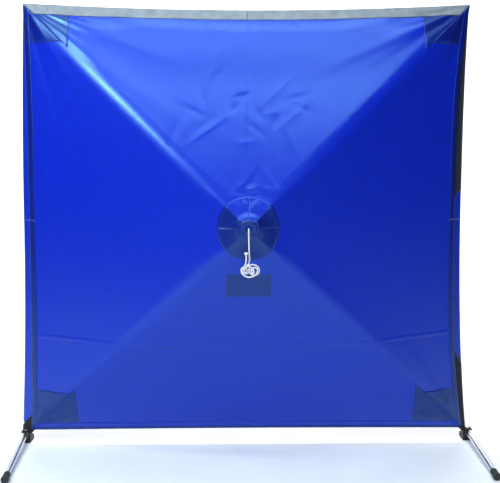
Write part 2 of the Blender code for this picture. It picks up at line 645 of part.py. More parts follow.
def pull_cord(parent):
    """White braid from the stop knot, through the hollow bolt and down to the hank."""
    knot_front = knot_centre() + KNOT_RADIUS + GAP
    bend = arc((-CORD_BEND, CORD_MOUTH), CORD_BEND, 0, 90, 4)
    top, low = -CORD_BEND, -HANK_DROP + GAP
    stops = ([Vector((0, 0, knot_front + (CORD_MOUTH - knot_front) * i / 4)) for i in range(4)]
             + [Vector((0, y, z)) for y, z in bend]
             + [Vector((HANK_ASIDE * i / 4, top + (low - top) * i / 4, CORD_HANG)) for i in range(1, 5)])
    curve = bpy.data.curves.new("pull_cord", "CURVE")
    curve.dimensions, curve.bevel_depth, curve.bevel_resolution = "3D", CORD_RADIUS, 2
    curve.use_fill_caps = True
    spline = curve.splines.new("POLY")
    points = smooth_route(stops, CORD_POINTS)
    spline.points.add(len(points) - 1)
    for target, point in zip(spline.points, points):
        target.co = (*point, 1.0)
    curve.materials.append(material("cord_white", (0.80, 0.80, 0.78), 0.80))
    obj = bpy.data.objects.new("pull_cord", curve)
    bpy.context.scene.collection.objects.link(obj)
    place(obj, hub_frame(), parent)


def pull_cord_hank(parent):
    """The gathered rest of the cord, as the plain outer shape of the hank."""
    r = HANK_HEIGHT / 2
    reach = HANK_WIDTH / 2 - r
    outline = arc((reach, 0), r, -90, 90, 10) + arc((-reach, 0), r, 90, 270, 10)
    bm = prism(outline, HANK_DEPTH)
    centre = Vector((HANK_ASIDE, PIN_Y - CORD_HANG, CENTRE_Z - HANK_DROP - r))
    finish("pull_cord_hank", bm, material("cord_white", (0.80, 0.80, 0.78), 0.80),
           Matrix.Translation(centre), parent)


# ---------------------------------------------------------------- assembly

def build_hub(hub):
    for piece in (hub_body, hub_front_plate, cloth_centre, hub_eyelet, hub_bolt, hub_nut, cord_stop_knot,
                  pull_cord, pull_cord_hank):
        piece(hub)


def build_rod(corner, sx, sz, hub):
    """One rod with its fittings and the two cloth facets that meet along it."""
    frame = rod_frame(sx, sz)
    arm = axis_empty("axis_rod_" + corner, frame, hub)
    hinge_pin("hinge_pin_" + corner, EAR_OFFSET + EAR / 2, frame_matrix(
        *hinge_axes(sx, sz), frame.translation), hub)
    knuckle("knuckle_" + corner, frame, arm)
    rod("rod_" + corner, frame, arm)
    (upper_tip_cap if sz > 0 else lower_tip_cap)("tip_cap_" + corner, frame, arm)
    corner_pocket("corner_pocket_" + corner, sz, frame, arm)
    cloth_facet("cloth_" + ("top_" if sz > 0 else "bottom_") + side_name(sx), "rise", sx, sz, arm)
    cloth_facet("cloth_" + side_name(sx) + ("_upper" if sz > 0 else "_lower"), "side", sx, sz, arm)
    side_flap("side_flap_" + corner, sx, sz, arm)
    edging = reflective_tape if sz > 0 else bottom_hem
    edging(("reflective_tape_" if sz > 0 else "bottom_hem_") + side_name(sx), sx, arm)
    return arm


def hinge_axes(sx, sz):
    """Radial, pivot and forward directions of a hub hinge or a rod tip pivot."""
    radial, forward = Vector((sx * UX, 0, sz * UZ)), Vector((0, -1, 0))
    return radial, forward.cross(radial), forward


def side_name(sx):
    return "left" if sx < 0 else "right"


def build_foot(side, sx, arm):
    """Foot bracket on a lower rod tip, with its swinging leg."""
    foot = axis_empty("axis_foot_" + side, bracket_frame(sx), arm)
    foot_bracket("foot_bracket_" + side, sx, foot)
    radial, head_way = Vector((sx * UX, 0, -UZ)), Vector((sx * UZ, 0, UX))
    hinge_pin("bracket_pin_" + side, TIP_EYE_WIDTH / 2 + GAP + BRACKET_EAR,
              frame_matrix(radial, head_way, radial.cross(head_way), tip_point(sx, -1)), foot)
    swivel_bolt("swivel_bolt_" + side, sx, foot)
    leg = axis_empty("axis_leg_" + side, Matrix.Translation(swivel_point(sx)), foot)
    leg_tube("leg_tube_" + side, sx, leg)
    leg_tip("leg_tip_" + side, sx, leg)


def main():
    for obj in list(bpy.data.objects):
        bpy.data.objects.remove(obj)
    hub = axis_empty("axis_hub", hub_frame())
    build_hub(hub)
    arms = {corner: build_rod(corner, sx, sz, hub) for corner, (sx, sz) in CORNERS.items()}
    for side, sx in SIDES.items():
        build_foot(side, sx, arms["lower_" + side])


main()
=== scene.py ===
"""Pop-up welding screen: cloth, fittings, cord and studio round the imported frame."""

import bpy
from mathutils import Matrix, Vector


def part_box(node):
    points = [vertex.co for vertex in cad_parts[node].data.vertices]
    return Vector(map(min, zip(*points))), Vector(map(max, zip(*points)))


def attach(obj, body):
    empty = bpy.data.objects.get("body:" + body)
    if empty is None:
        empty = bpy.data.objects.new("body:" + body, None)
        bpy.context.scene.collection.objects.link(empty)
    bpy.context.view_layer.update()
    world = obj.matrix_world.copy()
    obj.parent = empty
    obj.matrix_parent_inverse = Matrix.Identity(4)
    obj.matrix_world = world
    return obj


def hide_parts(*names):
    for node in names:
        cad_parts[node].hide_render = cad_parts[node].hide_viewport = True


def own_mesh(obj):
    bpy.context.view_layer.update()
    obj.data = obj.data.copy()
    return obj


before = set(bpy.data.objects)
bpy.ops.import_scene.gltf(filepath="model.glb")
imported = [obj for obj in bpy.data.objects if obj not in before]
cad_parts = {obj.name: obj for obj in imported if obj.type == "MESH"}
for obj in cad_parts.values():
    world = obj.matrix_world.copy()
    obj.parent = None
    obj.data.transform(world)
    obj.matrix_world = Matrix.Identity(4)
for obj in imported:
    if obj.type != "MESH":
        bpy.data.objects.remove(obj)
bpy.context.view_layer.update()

import math
import random

import bmesh
import bpy
import numpy as np
from bpy.props import FloatProperty, FloatVectorProperty, IntProperty, PointerProperty
from mathutils import Matrix, Vector

bl_info = {
    "name": "Welding curtain screen",
    "version": (1, 0, 0),
    "blender": (4, 5, 0),
    "location": "View3D > Sidebar > Screen",
    "description": "Builds the cloth, fittings, cord and studio of a pop-up welding screen",
    "category": "Add Mesh",
}

CORNERS = {"upper_left": (-1, 1), "upper_right": (1, 1), "lower_left": (-1, -1), "lower_right": (1, -1)}
SIDES = {"left": -1, "right": 1}
PANELS = {"cloth_top_left": ("rise", -1, 1), "cloth_top_right": ("rise", 1, 1),
          "cloth_bottom_left": ("rise", -1, -1), "cloth_bottom_right": ("rise", 1, -1),
          "cloth_left_upper": ("side", -1, 1), "cloth_left_lower": ("side", -1, -1),
          "cloth_right_upper": ("side", 1, 1), "cloth_right_lower": ("side", 1, -1)}


def low(name):
    return Vector(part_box(name)[0])


def high(name):
    return Vector(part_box(name)[1])


def middle(name):
    return (low(name) + high(name)) / 2


# Places read from the frame, in metres
CLOTH = 0.0012
HUB = middle("hub_bolt")
DISC_Y = middle("cloth_centre").y
HALF_WIDTH = high("cloth_right_upper").x
HALF_HEIGHT = high("cloth_top_left").z - HUB.z
CORNER_Y = high("cloth_top_left").y - CLOTH / 2
BULGE = 0.400                       # the peak in front of the corners, before the hub flattens it
PEAK_Y = CORNER_Y - BULGE
CORNER_RADIUS = math.hypot(HALF_WIDTH, HALF_HEIGHT)
SLOPE = math.atan(BULGE / CORNER_RADIUS)
MOUTH_Y = low("hub_bolt").y

# Sizes that repeat the frame's, in metres
TOP_SAG, BOTTOM_SAG = 0.027, 0.004
SIDE_SAG = {-1: 0.012, 1: 0.055}
TAPE_WIDTH, HEM_WIDTH = 0.052, 0.012
FLAP_OVERLAP = 0.016
FLAP_PROUD = {(-1, 1): 0.000, (-1, -1): 0.048, (1, 1): -0.005, (1, -1): 0.020}
FLAP_SAG = {(-1, 1): -0.020, (-1, -1): 0.028, (1, 1): 0.015, (1, -1): 0.040}
FLAP_END = {1: 0.985, -1: 0.940}
ROD_RADIUS, ROD_DEPTH = 0.0055, 0.013
PIN_CIRCLE, TIP_INSET = 0.045, 0.004    # hub axis to hinge pin; tip pivot short of the corner
ROD_LENGTH = ((CORNER_RADIUS - TIP_INSET) - PIN_CIRCLE) / math.cos(SLOPE)     # hinge pin to tip pivot
FERRULE_SOCKET, CAP_SOCKET = 0.0203, 0.018      # rod's ends short of its hinge pin and its tip pivot
CAP_RADIUS, CAP_LENGTH = 0.0078, 0.050  # the length is from the cap's mouth to the tip pivot
UPPER_END, LOWER_END = 0.012, 0.024     # caps and pockets, upper and lower, end short of the pivot
POCKET_BORE, POCKET_WALL, POCKET_LENGTH = 0.0081, 0.0014, 0.075
CORD_RADIUS = 0.003
LEG_RADIUS, LEG_WALL, LEG_LENGTH, LEG_BEHIND = 0.0111, 0.0014, 0.420, 0.012
TIP_GRIP, TIP_FLARE, TIP_END = 0.036, 0.0165, 0.0143

# Share of the half height or width, and distances round the hub
CENTRE_EDGE = 0.036                 # radius of the cloth's middle piece
FLAT_RADIUS, CONE_RADIUS = 0.034, 0.066
RIDGE_WIDTH = 0.060                 # share over which the cloth rolls round a rod
GRID_HALF = 111                     # squares from the middle to an edge

# Sewn layers: distance in front of the cloth, and thickness
PATCH_LIFT, PATCH = 0.0016, 0.0009
LAP_LIFT, LAP = 0.0013, 0.0006
BINDING_LIFT, BINDING = 0.0024, 0.0009
TURNUP_LIFT, TURNUP = 0.0018, 0.0008
BAND_LIFT, BAND = 0.0030, 0.0010
FLAP_LIFT, FLAP = -0.0032, 0.0010
HOOK_LIFT, HOOK = -0.0014, 0.0012
STITCH_LIFT, FLAP_STITCH_LIFT = 0.0019, -0.0016


# ---------------------------------------------------------------- small tools

def linear(code):
    """An sRGB hex value as the linear colour that a shader reads; a linear colour stays as it is."""
    if not isinstance(code, str):
        return tuple(code)
    parts = [int(code[i:i + 2], 16) / 255 for i in (0, 2, 4)]
    return (*(c / 12.92 if c <= 0.04045 else ((c + 0.055) / 1.055) ** 2.4 for c in parts), 1.0)


def add(tree, kind, values=None, links=None, **settings):
    """Add a node to a tree with its settings, socket values and incoming links."""
    node = tree.nodes.new(kind)
    for name, value in settings.items():
        setattr(node, name, value)
    for socket, value in (values or {}).items():
        node.inputs[socket].default_value = value
    for socket, source in (links or {}).items():
        tree.links.new(source, node.inputs[socket])
    return node


def smoothstep(x):
    x = np.clip(x, 0.0, 1.0)
    return x * x * (3 - 2 * x)


def deselect():
    if bpy.context.object and bpy.context.object.mode != "OBJECT":
        bpy.ops.object.mode_set(mode="OBJECT")
    bpy.ops.object.select_all(action="DESELECT")


def pick(obj):
    deselect()
    bpy.context.view_layer.objects.active = obj
    obj.select_set(True)


def new_object(name, bm):
    mesh = bpy.data.meshes.new(name)
    bm.to_mesh(mesh)
    bm.free()
    obj = bpy.data.objects.new(name, mesh)
    bpy.context.scene.collection.objects.link(obj)
    return obj


def apply_modifier(obj, kind, **settings):
    pick(obj)
    modifier = obj.modifiers.new(kind.title(), kind)
    for name, value in settings.items():
        setattr(modifier, name, value)
    bpy.ops.object.modifier_apply(modifier=modifier.name)


def settle(obj, matrix, mat, smooth=35):
    """Bring a piece modelled at the origin to its place, with the place in its mesh."""
    pick(obj)
    obj.matrix_world = matrix @ obj.matrix_world
    bpy.ops.object.transform_apply(location=True, rotation=True, scale=True)
    bpy.ops.object.shade_smooth_by_angle(angle=math.radians(smooth))
    obj.data.materials.clear()
    obj.data.materials.append(mat)
    return obj


def turned(name, profile, sides, closed=True):
    """A turned piece along local Z, extruded ring by ring from a circle. profile is (radius, height)."""
    deselect()
    radius, height = profile[0]
    bpy.ops.mesh.primitive_circle_add(vertices=sides, radius=radius, location=(0, 0, height),
                                      fill_type="NGON" if closed else "NOTHING")
    obj = bpy.context.object
    obj.name = obj.data.name = name
    bpy.ops.object.transform_apply(location=True, rotation=True, scale=True)
    bpy.ops.object.mode_set(mode="EDIT")
    bpy.ops.mesh.select_all(action="SELECT")
    for (r0, z0), (r1, z1) in zip(profile, profile[1:]):
        bpy.ops.mesh.extrude_region_move(TRANSFORM_OT_translate={"value": (0, 0, z1 - z0)})
        bpy.ops.transform.resize(value=(r1 / r0, r1 / r0, 1), center_override=(0, 0, z1))
    bpy.ops.mesh.select_all(action="SELECT")
    bpy.ops.mesh.normals_make_consistent(inside=False)
    bpy.ops.object.mode_set(mode="OBJECT")
    return obj


def hollow(name, profile, sides):
    """A turned piece with a bore: the profile's rings are bridged into a closed loop."""
    deselect()
    obj = turned(name, profile, sides, closed=False)
    pick(obj)
    bpy.ops.object.mode_set(mode="EDIT")
    bpy.ops.mesh.select_all(action="DESELECT")
    bpy.ops.mesh.select_non_manifold(extend=False)
    bpy.ops.mesh.bridge_edge_loops()
    bpy.ops.mesh.select_all(action="SELECT")
    bpy.ops.mesh.normals_make_consistent(inside=False)
    bpy.ops.object.mode_set(mode="OBJECT")
    return obj


def axes(x_way, z_way, origin):
    """A frame with local X and Z along two given ways."""
    x_way, z_way = Vector(x_way).normalized(), Vector(z_way).normalized()
    y_way = z_way.cross(x_way)
    matrix = Matrix((x_way, y_way, z_way)).transposed().to_4x4()
    matrix.translation = Vector(origin)
    return matrix


def along(way, origin, up=(0, 0, 1)):
    """A frame whose local Z runs along a given way."""
    way = Vector(way).normalized()
    side = Vector(up).cross(way)
    if side.length < 1e-6:
        side = Vector((1, 0, 0))
    return axes(side, way, origin)


# ---------------------------------------------------------------- materials

def surface(name, colour, roughness, metallic=0.0, specular=0.5):
    """Start a material: its tree and its shader, with the values that are the same all over."""
    mat = bpy.data.materials.new(name)
    mat.use_nodes = True
    shader = mat.node_tree.nodes["Principled BSDF"]
    shader.inputs["Base Color"].default_value = linear(colour)
    shader.inputs["Roughness"].default_value = roughness
    shader.inputs["Metallic"].default_value = metallic
    if not metallic:
        shader.inputs["Specular IOR Level"].default_value = specular
    return mat, mat.node_tree, shader


def varied(tree, shader, place, dark, light, rough, scale, detail=4.0):
    """Mottle a colour and its roughness with one noise over the surface."""
    noise = add(tree, "ShaderNodeTexNoise", {"Scale": scale, "Detail": detail}, {"Vector": place})
    ramp = add(tree, "ShaderNodeValToRGB", links={"Fac": noise.outputs["Fac"]})
    ramp.color_ramp.elements[0].position, ramp.color_ramp.elements[1].position = 0.3, 0.7
    ramp.color_ramp.elements[0].color, ramp.color_ramp.elements[1].color = linear(dark), linear(light)
    spread = add(tree, "ShaderNodeMapRange", {"To Min": rough[0], "To Max": rough[1]},
                 {"Value": noise.outputs["Fac"]})
    tree.links.new(ramp.outputs["Color"], shader.inputs["Base Color"])
    tree.links.new(spread.outputs["Result"], shader.inputs["Roughness"])
    return noise


def bumped(tree, shader, height, strength, distance):
    """Raise a surface by a height pattern; distance is the pattern's real height in metres."""
    bump = add(tree, "ShaderNodeBump", {"Strength": strength, "Distance": distance}, {"Height": height})
    tree.links.new(bump.outputs["Normal"], shader.inputs["Normal"])


def weave(tree, place, period):
    """Height of a plain weave with threads one period apart, in metres."""
    scale = 2 * math.pi / (20 * period)
    warp = add(tree, "ShaderNodeTexWave", {"Scale": scale}, {"Vector": place}, bands_direction="X")
    weft = add(tree, "ShaderNodeTexWave", {"Scale": scale}, {"Vector": place}, bands_direction="Y")
    return add(tree, "ShaderNodeMath", links={0: warp.outputs["Fac"], 1: weft.outputs["Fac"]},
               operation="MULTIPLY").outputs[0]


def coated_cloth(name, dark, light, rough=(0.26, 0.33), specular=0.8):
    """PVC-coated polyester, calendered: a satin film that mottles softly over a fine scrim."""
    mat, tree, shader = surface(name, light, rough[0], specular=specular)
    shader.inputs["Specular Tint"].default_value = linear("A0DCFF")     # painted reflection colour: a blue tint on the film's sheen that stands in for blue sky light
    place = add(tree, "ShaderNodeUVMap", uv_map="cloth").outputs["UV"]
    varied(tree, shader, place, dark, light, rough, 26.0)
    scrim = weave(tree, place, 0.0024)     # the scrim's 1.2 mm threads, drawn twice as coarse to show
    grain = add(tree, "ShaderNodeTexNoise", {"Scale": 180.0, "Detail": 3.0}, {"Vector": place})
    both = add(tree, "ShaderNodeMath", {1: 0.5}, {0: scrim, 2: grain.outputs["Fac"]},
               operation="MULTIPLY_ADD")
    bumped(tree, shader, both.outputs[0], 0.30, 0.0004)
    return mat


def bead_tape(name):
    """Glass-bead reflective film on fabric: silver grey, with a fine cell pattern and a soft sparkle."""
    mat, tree, shader = surface(name, "8C9694", 0.5, specular=0.5)
    place = add(tree, "ShaderNodeUVMap", uv_map="cloth").outputs["UV"]
    varied(tree, shader, place, "6C7478", "858D90", (0.40, 0.60), 22.0)
    cells = add(tree, "ShaderNodeTexVoronoi", {"Scale": 320.0}, {"Vector": place})   # 3 mm cells
    bumped(tree, shader, cells.outputs["Distance"], 0.35, 0.0003)
    return mat


def loop_tape(name):
    """Woven nylon hook-and-loop tape: a dull black pile of small loops."""
    mat, tree, shader = surface(name, "0B0C0E", 0.9, specular=0.2)
    place = add(tree, "ShaderNodeUVMap", uv_map="cloth").outputs["UV"]
    noise = varied(tree, shader, place, "050507", "191A1E", (0.82, 0.97), 420.0)
    bumped(tree, shader, noise.outputs["Fac"], 0.7, 0.0010)
    shader.inputs["Sheen Weight"].default_value = 0.25
    return mat


def webbing(name):
    """Woven polypropylene webbing: ribs across the tape, dull and black."""
    mat, tree, shader = surface(name, "101013", 0.8, specular=0.3)
    place = add(tree, "ShaderNodeTexCoord").outputs["Object"]
    varied(tree, shader, place, "09090B", "1C1C21", (0.70, 0.90), 160.0)
    ribs = add(tree, "ShaderNodeTexWave", {"Scale": 2 * math.pi / (20 * 0.002), "Distortion": 1.5},
               {"Vector": place}, bands_direction="DIAGONAL")        # 2 mm ribs
    bumped(tree, shader, ribs.outputs["Fac"], 0.6, 0.0006)
    return mat


def moulded(name, dark, light, rough, specular=0.4):
    """Glass-filled nylon, injection moulded: a fine spark-eroded grain with slight flow marks."""
    mat, tree, shader = surface(name, light, rough[0], specular=specular)
    place = add(tree, "ShaderNodeTexCoord").outputs["Object"]
    varied(tree, shader, place, dark, light, rough, 60.0)
    grain = add(tree, "ShaderNodeTexNoise", {"Scale": 1400.0, "Detail": 2.0}, {"Vector": place})
    bumped(tree, shader, grain.outputs["Fac"], 0.35, 0.0002)
    return mat


def drawn_metal(name, dark, light, rough, way, metallic=1.0):
    """Drawn metal: fine lines along the draw, with roughness that varies in streaks."""
    mat, tree, shader = surface(name, light, rough[0], metallic=metallic)
    place = add(tree, "ShaderNodeTexCoord").outputs["Object"]
    stretch = add(tree, "ShaderNodeMapping", {"Scale": way}, {"Vector": place})
    noise = varied(tree, shader, stretch.outputs["Vector"], dark, light, rough, 300.0, 5.0)
    bumped(tree, shader, noise.outputs["Fac"], 0.15, 0.0001)
    return mat


def cast_rubber(name):
    """Moulded EPDM rubber: dull, dark, with a dusty bloom where it scuffs."""
    mat, tree, shader = surface(name, "2B2F2D", 0.75, specular=0.35)
    place = add(tree, "ShaderNodeTexCoord").outputs["Object"]
    varied(tree, shader, place, "1F2220", "3A3E3B", (0.62, 0.85), 90.0)
    grain = add(tree, "ShaderNodeTexNoise", {"Scale": 900.0, "Detail": 3.0}, {"Vector": place})
    bumped(tree, shader, grain.outputs["Fac"], 0.4, 0.0003)
    return mat


def pultruded(name):
    """Pultruded fibreglass: grey resin with long faint fibres under a low gloss."""
    mat, tree, shader = surface(name, "8B8D88", 0.4)
    place = add(tree, "ShaderNodeTexCoord").outputs["Object"]
    noise = varied(tree, shader, place, "777A76", "A2A49E", (0.34, 0.5), 500.0)
    bumped(tree, shader, noise.outputs["Fac"], 0.2, 0.0001)
    return mat


def braid(name, turns_per_metre=110.0):
    """Braided polyester cord: white strands that cross in two diagonals round the cord, with painted shade in
    the grooves between them.
    """
    mat, tree, shader = surface(name, "E6E6E1", 0.75, specular=0.3)
    place = add(tree, "ShaderNodeUVMap", uv_map="cord").outputs["UV"]
    heights = []
    for lean in (math.pi / 4, -math.pi / 4):
        turn = add(tree, "ShaderNodeMapping", {"Rotation": (0, 0, lean), "Scale": (turns_per_metre, 4.0, 1)},
                   {"Vector": place})
        heights.append(add(tree, "ShaderNodeTexWave", {"Scale": 0.5}, {"Vector": turn.outputs["Vector"]}))
    both = add(tree, "ShaderNodeMath", links={0: heights[0].outputs["Fac"], 1: heights[1].outputs["Fac"]},
               operation="MAXIMUM")
    # painted shade: the strand height also darkens the colour down in the grooves between the strands
    ramp = add(tree, "ShaderNodeValToRGB", links={"Fac": both.outputs[0]})
    ramp.color_ramp.elements[0].color, ramp.color_ramp.elements[1].color = linear("B4B4AE"), linear("F2F2EE")
    tree.links.new(ramp.outputs["Color"], shader.inputs["Base Color"])
    bumped(tree, shader, both.outputs[0], 0.6, 0.0006)
    return mat


MATERIALS = {}


def cloth_tones():
    settings = bpy.context.scene.screen_cloth
    return settings.deep_tone, settings.light_tone


def finish_of(slot):
    """The material for one of the record's slots, made on first use."""
    if slot not in MATERIALS:
        makers = {
            "coated_cloth_blue": lambda: coated_cloth("coated_cloth_blue", *cloth_tones()),
            "doubled_cloth_blue": lambda: coated_cloth("doubled_cloth_blue", "06166E", "07197A"),
            "flap_cloth_blue": lambda: coated_cloth("flap_cloth_blue", "0A24A6", "0D2AB4"),
            "hem_cloth_dark": lambda: coated_cloth("hem_cloth_dark", "071560", "0A1C7A", (0.5, 0.6)),
            "stitch_blue": lambda: moulded("stitch_blue", "2440C8", "3555E0", (0.5, 0.65)),
            "reflective_tape": lambda: bead_tape("reflective_tape"),
            "loop_tape_black": lambda: loop_tape("loop_tape_black"),
            "webbing_black": lambda: webbing("webbing_black"),
            "nylon_black": lambda: moulded("nylon_black", "0E0E10", "1A1A1D", (0.42, 0.58)),
            "nylon_blue": lambda: moulded("nylon_blue", "081A7C", "0B2190", (0.60, 0.72), 0.2),
            "zinc_plated_steel": lambda: drawn_metal("zinc_plated_steel", "A8AAA6", "CDD0CC", (0.26, 0.42),
                                                     (1, 1, 1)),
            "aluminium_tube": lambda: drawn_metal("aluminium_tube", "B9BDC6", "DDE0E6", (0.20, 0.34),
                                                  (6.0, 0.12, 6.0)),
            "fibreglass_grey": lambda: pultruded("fibreglass_grey"),
            "rubber_black": lambda: cast_rubber("rubber_black"),
            "cord_white": lambda: braid("cord_white"),
        }
        MATERIALS[slot] = makers[slot]()
    return MATERIALS[slot]


def dress(slot, *nodes):
    """Give carried-over frame nodes a finished material."""
    for name in nodes:
        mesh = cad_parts[name].data
        mesh.materials.clear()
        mesh.materials.append(finish_of(slot))
        for polygon in mesh.polygons:
            polygon.material_index = 0


# ---------------------------------------------------------------- studio

def aim(obj, target):
    obj.rotation_euler = (Vector(target) - obj.location).to_track_quat("-Z", "Y").to_euler()


def soft_light(name, place, target, size, power, colour):
    """A softbox of a given width and depth that faces a target."""
    data = bpy.data.lights.new(name, "AREA")
    data.shape, data.energy = "RECTANGLE", power
    data.size, data.size_y = size
    data.color = linear(colour)[:3]
    obj = bpy.data.objects.new(name, data)
    bpy.context.scene.collection.objects.link(obj)
    obj.location = place
    aim(obj, target)
    return obj


def studio_floor():
    """Floor and backdrop in one sweep: a plane whose far edge is extruded up, then rounded."""
    deselect()
    bpy.ops.mesh.primitive_plane_add(size=14, location=(0, -1.5, -0.0006))
    obj = bpy.context.object
    obj.name = obj.data.name = "studio_sweep"
    bpy.ops.object.mode_set(mode="EDIT")
    bpy.ops.mesh.select_all(action="DESELECT")
    bpy.ops.object.mode_set(mode="OBJECT")
    for edge in obj.data.edges:
        edge.select = all(obj.data.vertices[i].co.y > 6.9 for i in edge.vertices)
    bpy.ops.object.mode_set(mode="EDIT")
    bpy.ops.mesh.extrude_region_move(TRANSFORM_OT_translate={"value": (0, 0, 8)})
    bpy.ops.object.mode_set(mode="OBJECT")
    apply_modifier(obj, "BEVEL", width=1.5, segments=12, limit_method="ANGLE")
    mat, tree, shader = surface("studio_paper", "F4F4F2", 0.9, specular=0.1)
    place = add(tree, "ShaderNodeTexCoord").outputs["Object"]
    varied(tree, shader, place, "F0F0EE", "F7F7F5", (0.85, 0.95), 3.0)
    settle(obj, Matrix(), mat)


def studio():
    settings = bpy.context.scene.screen_stage
    scene = bpy.context.scene
    scene.view_settings.view_transform = "Standard"
    world = bpy.data.worlds.new("studio")
    world.use_nodes = True
    scene.world = world
    backdrop = world.node_tree.nodes["Background"]
    backdrop.inputs["Color"].default_value = linear("EEF2FA")
    backdrop.inputs["Strength"].default_value = settings.ambient
    studio_floor()
    lights = (
        ("overhead_light", (-0.1, -2.06, 4.36), (0.0, 0.0, 1.7), (3.4, 0.45), settings.key_power, "DCEEFF"),
        ("top_light", (-0.1, -0.95, 4.7), (0.0, 0.0, 1.9), (3.2, 0.35), settings.top_power, "DCEEFF"),
        ("front_light", (0.2, -4.4, 2.0), (0.0, 0.0, 1.0), (2.6, 2.0), settings.front_power, "FFFFFF"),
        ("left_light", (-2.1, -2.1, 2.9), (-0.6, 0.0, 1.6), (0.5, 0.5), settings.side_power, "D8ECFF"),
        ("foreground_light", (0.0, -1.5, 4.6), (0.0, -1.5, 0.0), (4.0, 1.2), settings.fore_power, "FFF6E8"),
        ("floor_light", (0.0, 1.6, 4.8), (0.0, 1.4, 0.0), (5.0, 3.0), settings.floor_power, "FFFFFF"),
        ("backdrop_light", (0.0, 2.2, 4.8), (0.0, 6.0, 1.8), (4.0, 3.0), settings.backdrop_power, "FFFFFF"),
    )
    for name, place, target, size, power, colour in lights:
        light = soft_light(name, place, target, size, power, colour)
        if name == "foreground_light":
            light.data.spread = math.radians(50)        # keeps it off the cloth
    data = bpy.data.cameras.new("camera")
    data.sensor_width, data.lens, data.shift_y = 36.0, settings.lens, settings.shift
    camera = bpy.data.objects.new("camera", data)
    scene.collection.objects.link(camera)
    camera.location = (settings.camera_side, CORNER_Y - settings.camera_distance, settings.camera_height)
    camera.rotation_euler = (math.pi / 2 - settings.camera_tilt, 0, -settings.camera_turn)
    scene.camera = camera


# ---------------------------------------------------------------- pull cord

def smooth_route(stops, spacing):
    """Evenly spaced points on a Catmull-Rom curve through the stops."""
    ends = [stops[0] * 2 - stops[1]] + stops + [stops[-1] * 2 - stops[-2]]
    fine = []
    for k in range(len(stops) - 1):
        a, b, c, d = ends[k:k + 4]
        for i in range(24):
            f = i / 24
            fine.append(0.5 * (2 * b + (c - a) * f + (2 * a - 5 * b + 4 * c - d) * f ** 2
                               + (3 * b - a - 3 * c + d) * f ** 3))
    fine.append(stops[-1])
    runs = [0.0]
    for p, q in zip(fine, fine[1:]):
        runs.append(runs[-1] + (q - p).length)
    count = max(2, round(runs[-1] / spacing))
    points, k = [], 0
    for i in range(count + 1):
        want = runs[-1] * i / count
        while k < len(runs) - 2 and runs[k + 1] < want:
            k += 1
        f = (want - runs[k]) / max(runs[k + 1] - runs[k], 1e-9)
        points.append(fine[k].lerp(fine[k + 1], min(max(f, 0.0), 1.0)))
    return points, runs[-1]


def braided_tube(name, points, radius, closed=False, sides=16, strands=8):
    """A tube along the points, its strands raised in two crossing diagonals."""
    lay = bpy.context.scene.screen_cord.strand_lay
    bm = bmesh.new()
    uv = bm.loops.layers.uv.new("cord")
    count = len(points)
    tangent = [(points[(i + 1) % count if closed else min(i + 1, count - 1)]
                - points[i - 1 if closed or i else 0]).normalized() for i in range(count)]
    side = tangent[0].orthogonal().normalized()
    rings, run, runs = [], 0.0, []
    for i, point in enumerate(points):
        if i:
            side = (tangent[i - 1].rotation_difference(tangent[i]) @ side)
            side = (side - tangent[i] * side.dot(tangent[i])).normalized()
            run += (point - points[i - 1]).length
        over = tangent[i].cross(side)
        runs.append(run)
        ring = []
        for k in range(sides):
            angle = 2 * math.pi * k / sides
            phase = 2 * math.pi * run / lay
            lift = max(math.cos(strands / 2 * angle + phase), math.cos(strands / 2 * angle - phase))
            reach = radius * (0.95 + 0.05 * lift)
            ring.append(bm.verts.new(point + (side * math.cos(angle) + over * math.sin(angle)) * reach))
        rings.append(ring)
    pairs = list(range(count - 1)) + ([count - 1] if closed else [])
    for i in pairs:
        j = (i + 1) % count
        for k in range(sides):
            m = (k + 1) % sides
            face = bm.faces.new((rings[i][k], rings[i][m], rings[j][m], rings[j][k]))
            stop = runs[j] if j else run + (points[0] - points[-1]).length
            for loop, spot in zip(face.loops, ((runs[i], k), (runs[i], k + 1), (stop, k + 1), (stop, k))):
                loop[uv].uv = (spot[0], spot[1] / sides)
            face.smooth = True
    if not closed:
        bm.faces.new(list(reversed(rings[0])))
        bm.faces.new(rings[-1])
    bmesh.ops.recalc_face_normals(bm, faces=bm.faces)
    obj = new_object(name, bm)
    obj.data.materials.append(finish_of("cord_white"))
    return obj


def small_knot(name, centre, size, way):
    """An overhand knot pulled tight: the cord's own tube along a trefoil."""
    frame_at = along(way, centre)
    points = []
    for i in range(72):
        a = 2 * math.pi * i / 72
        spot = Vector((math.sin(a) + 2 * math.sin(2 * a), math.cos(a) - 2 * math.cos(2 * a),
                       -1.15 * math.sin(3 * a)))
        points.append(frame_at @ (spot * size / 3))
    return braided_tube(name, points, size * 0.62, closed=True, sides=12)


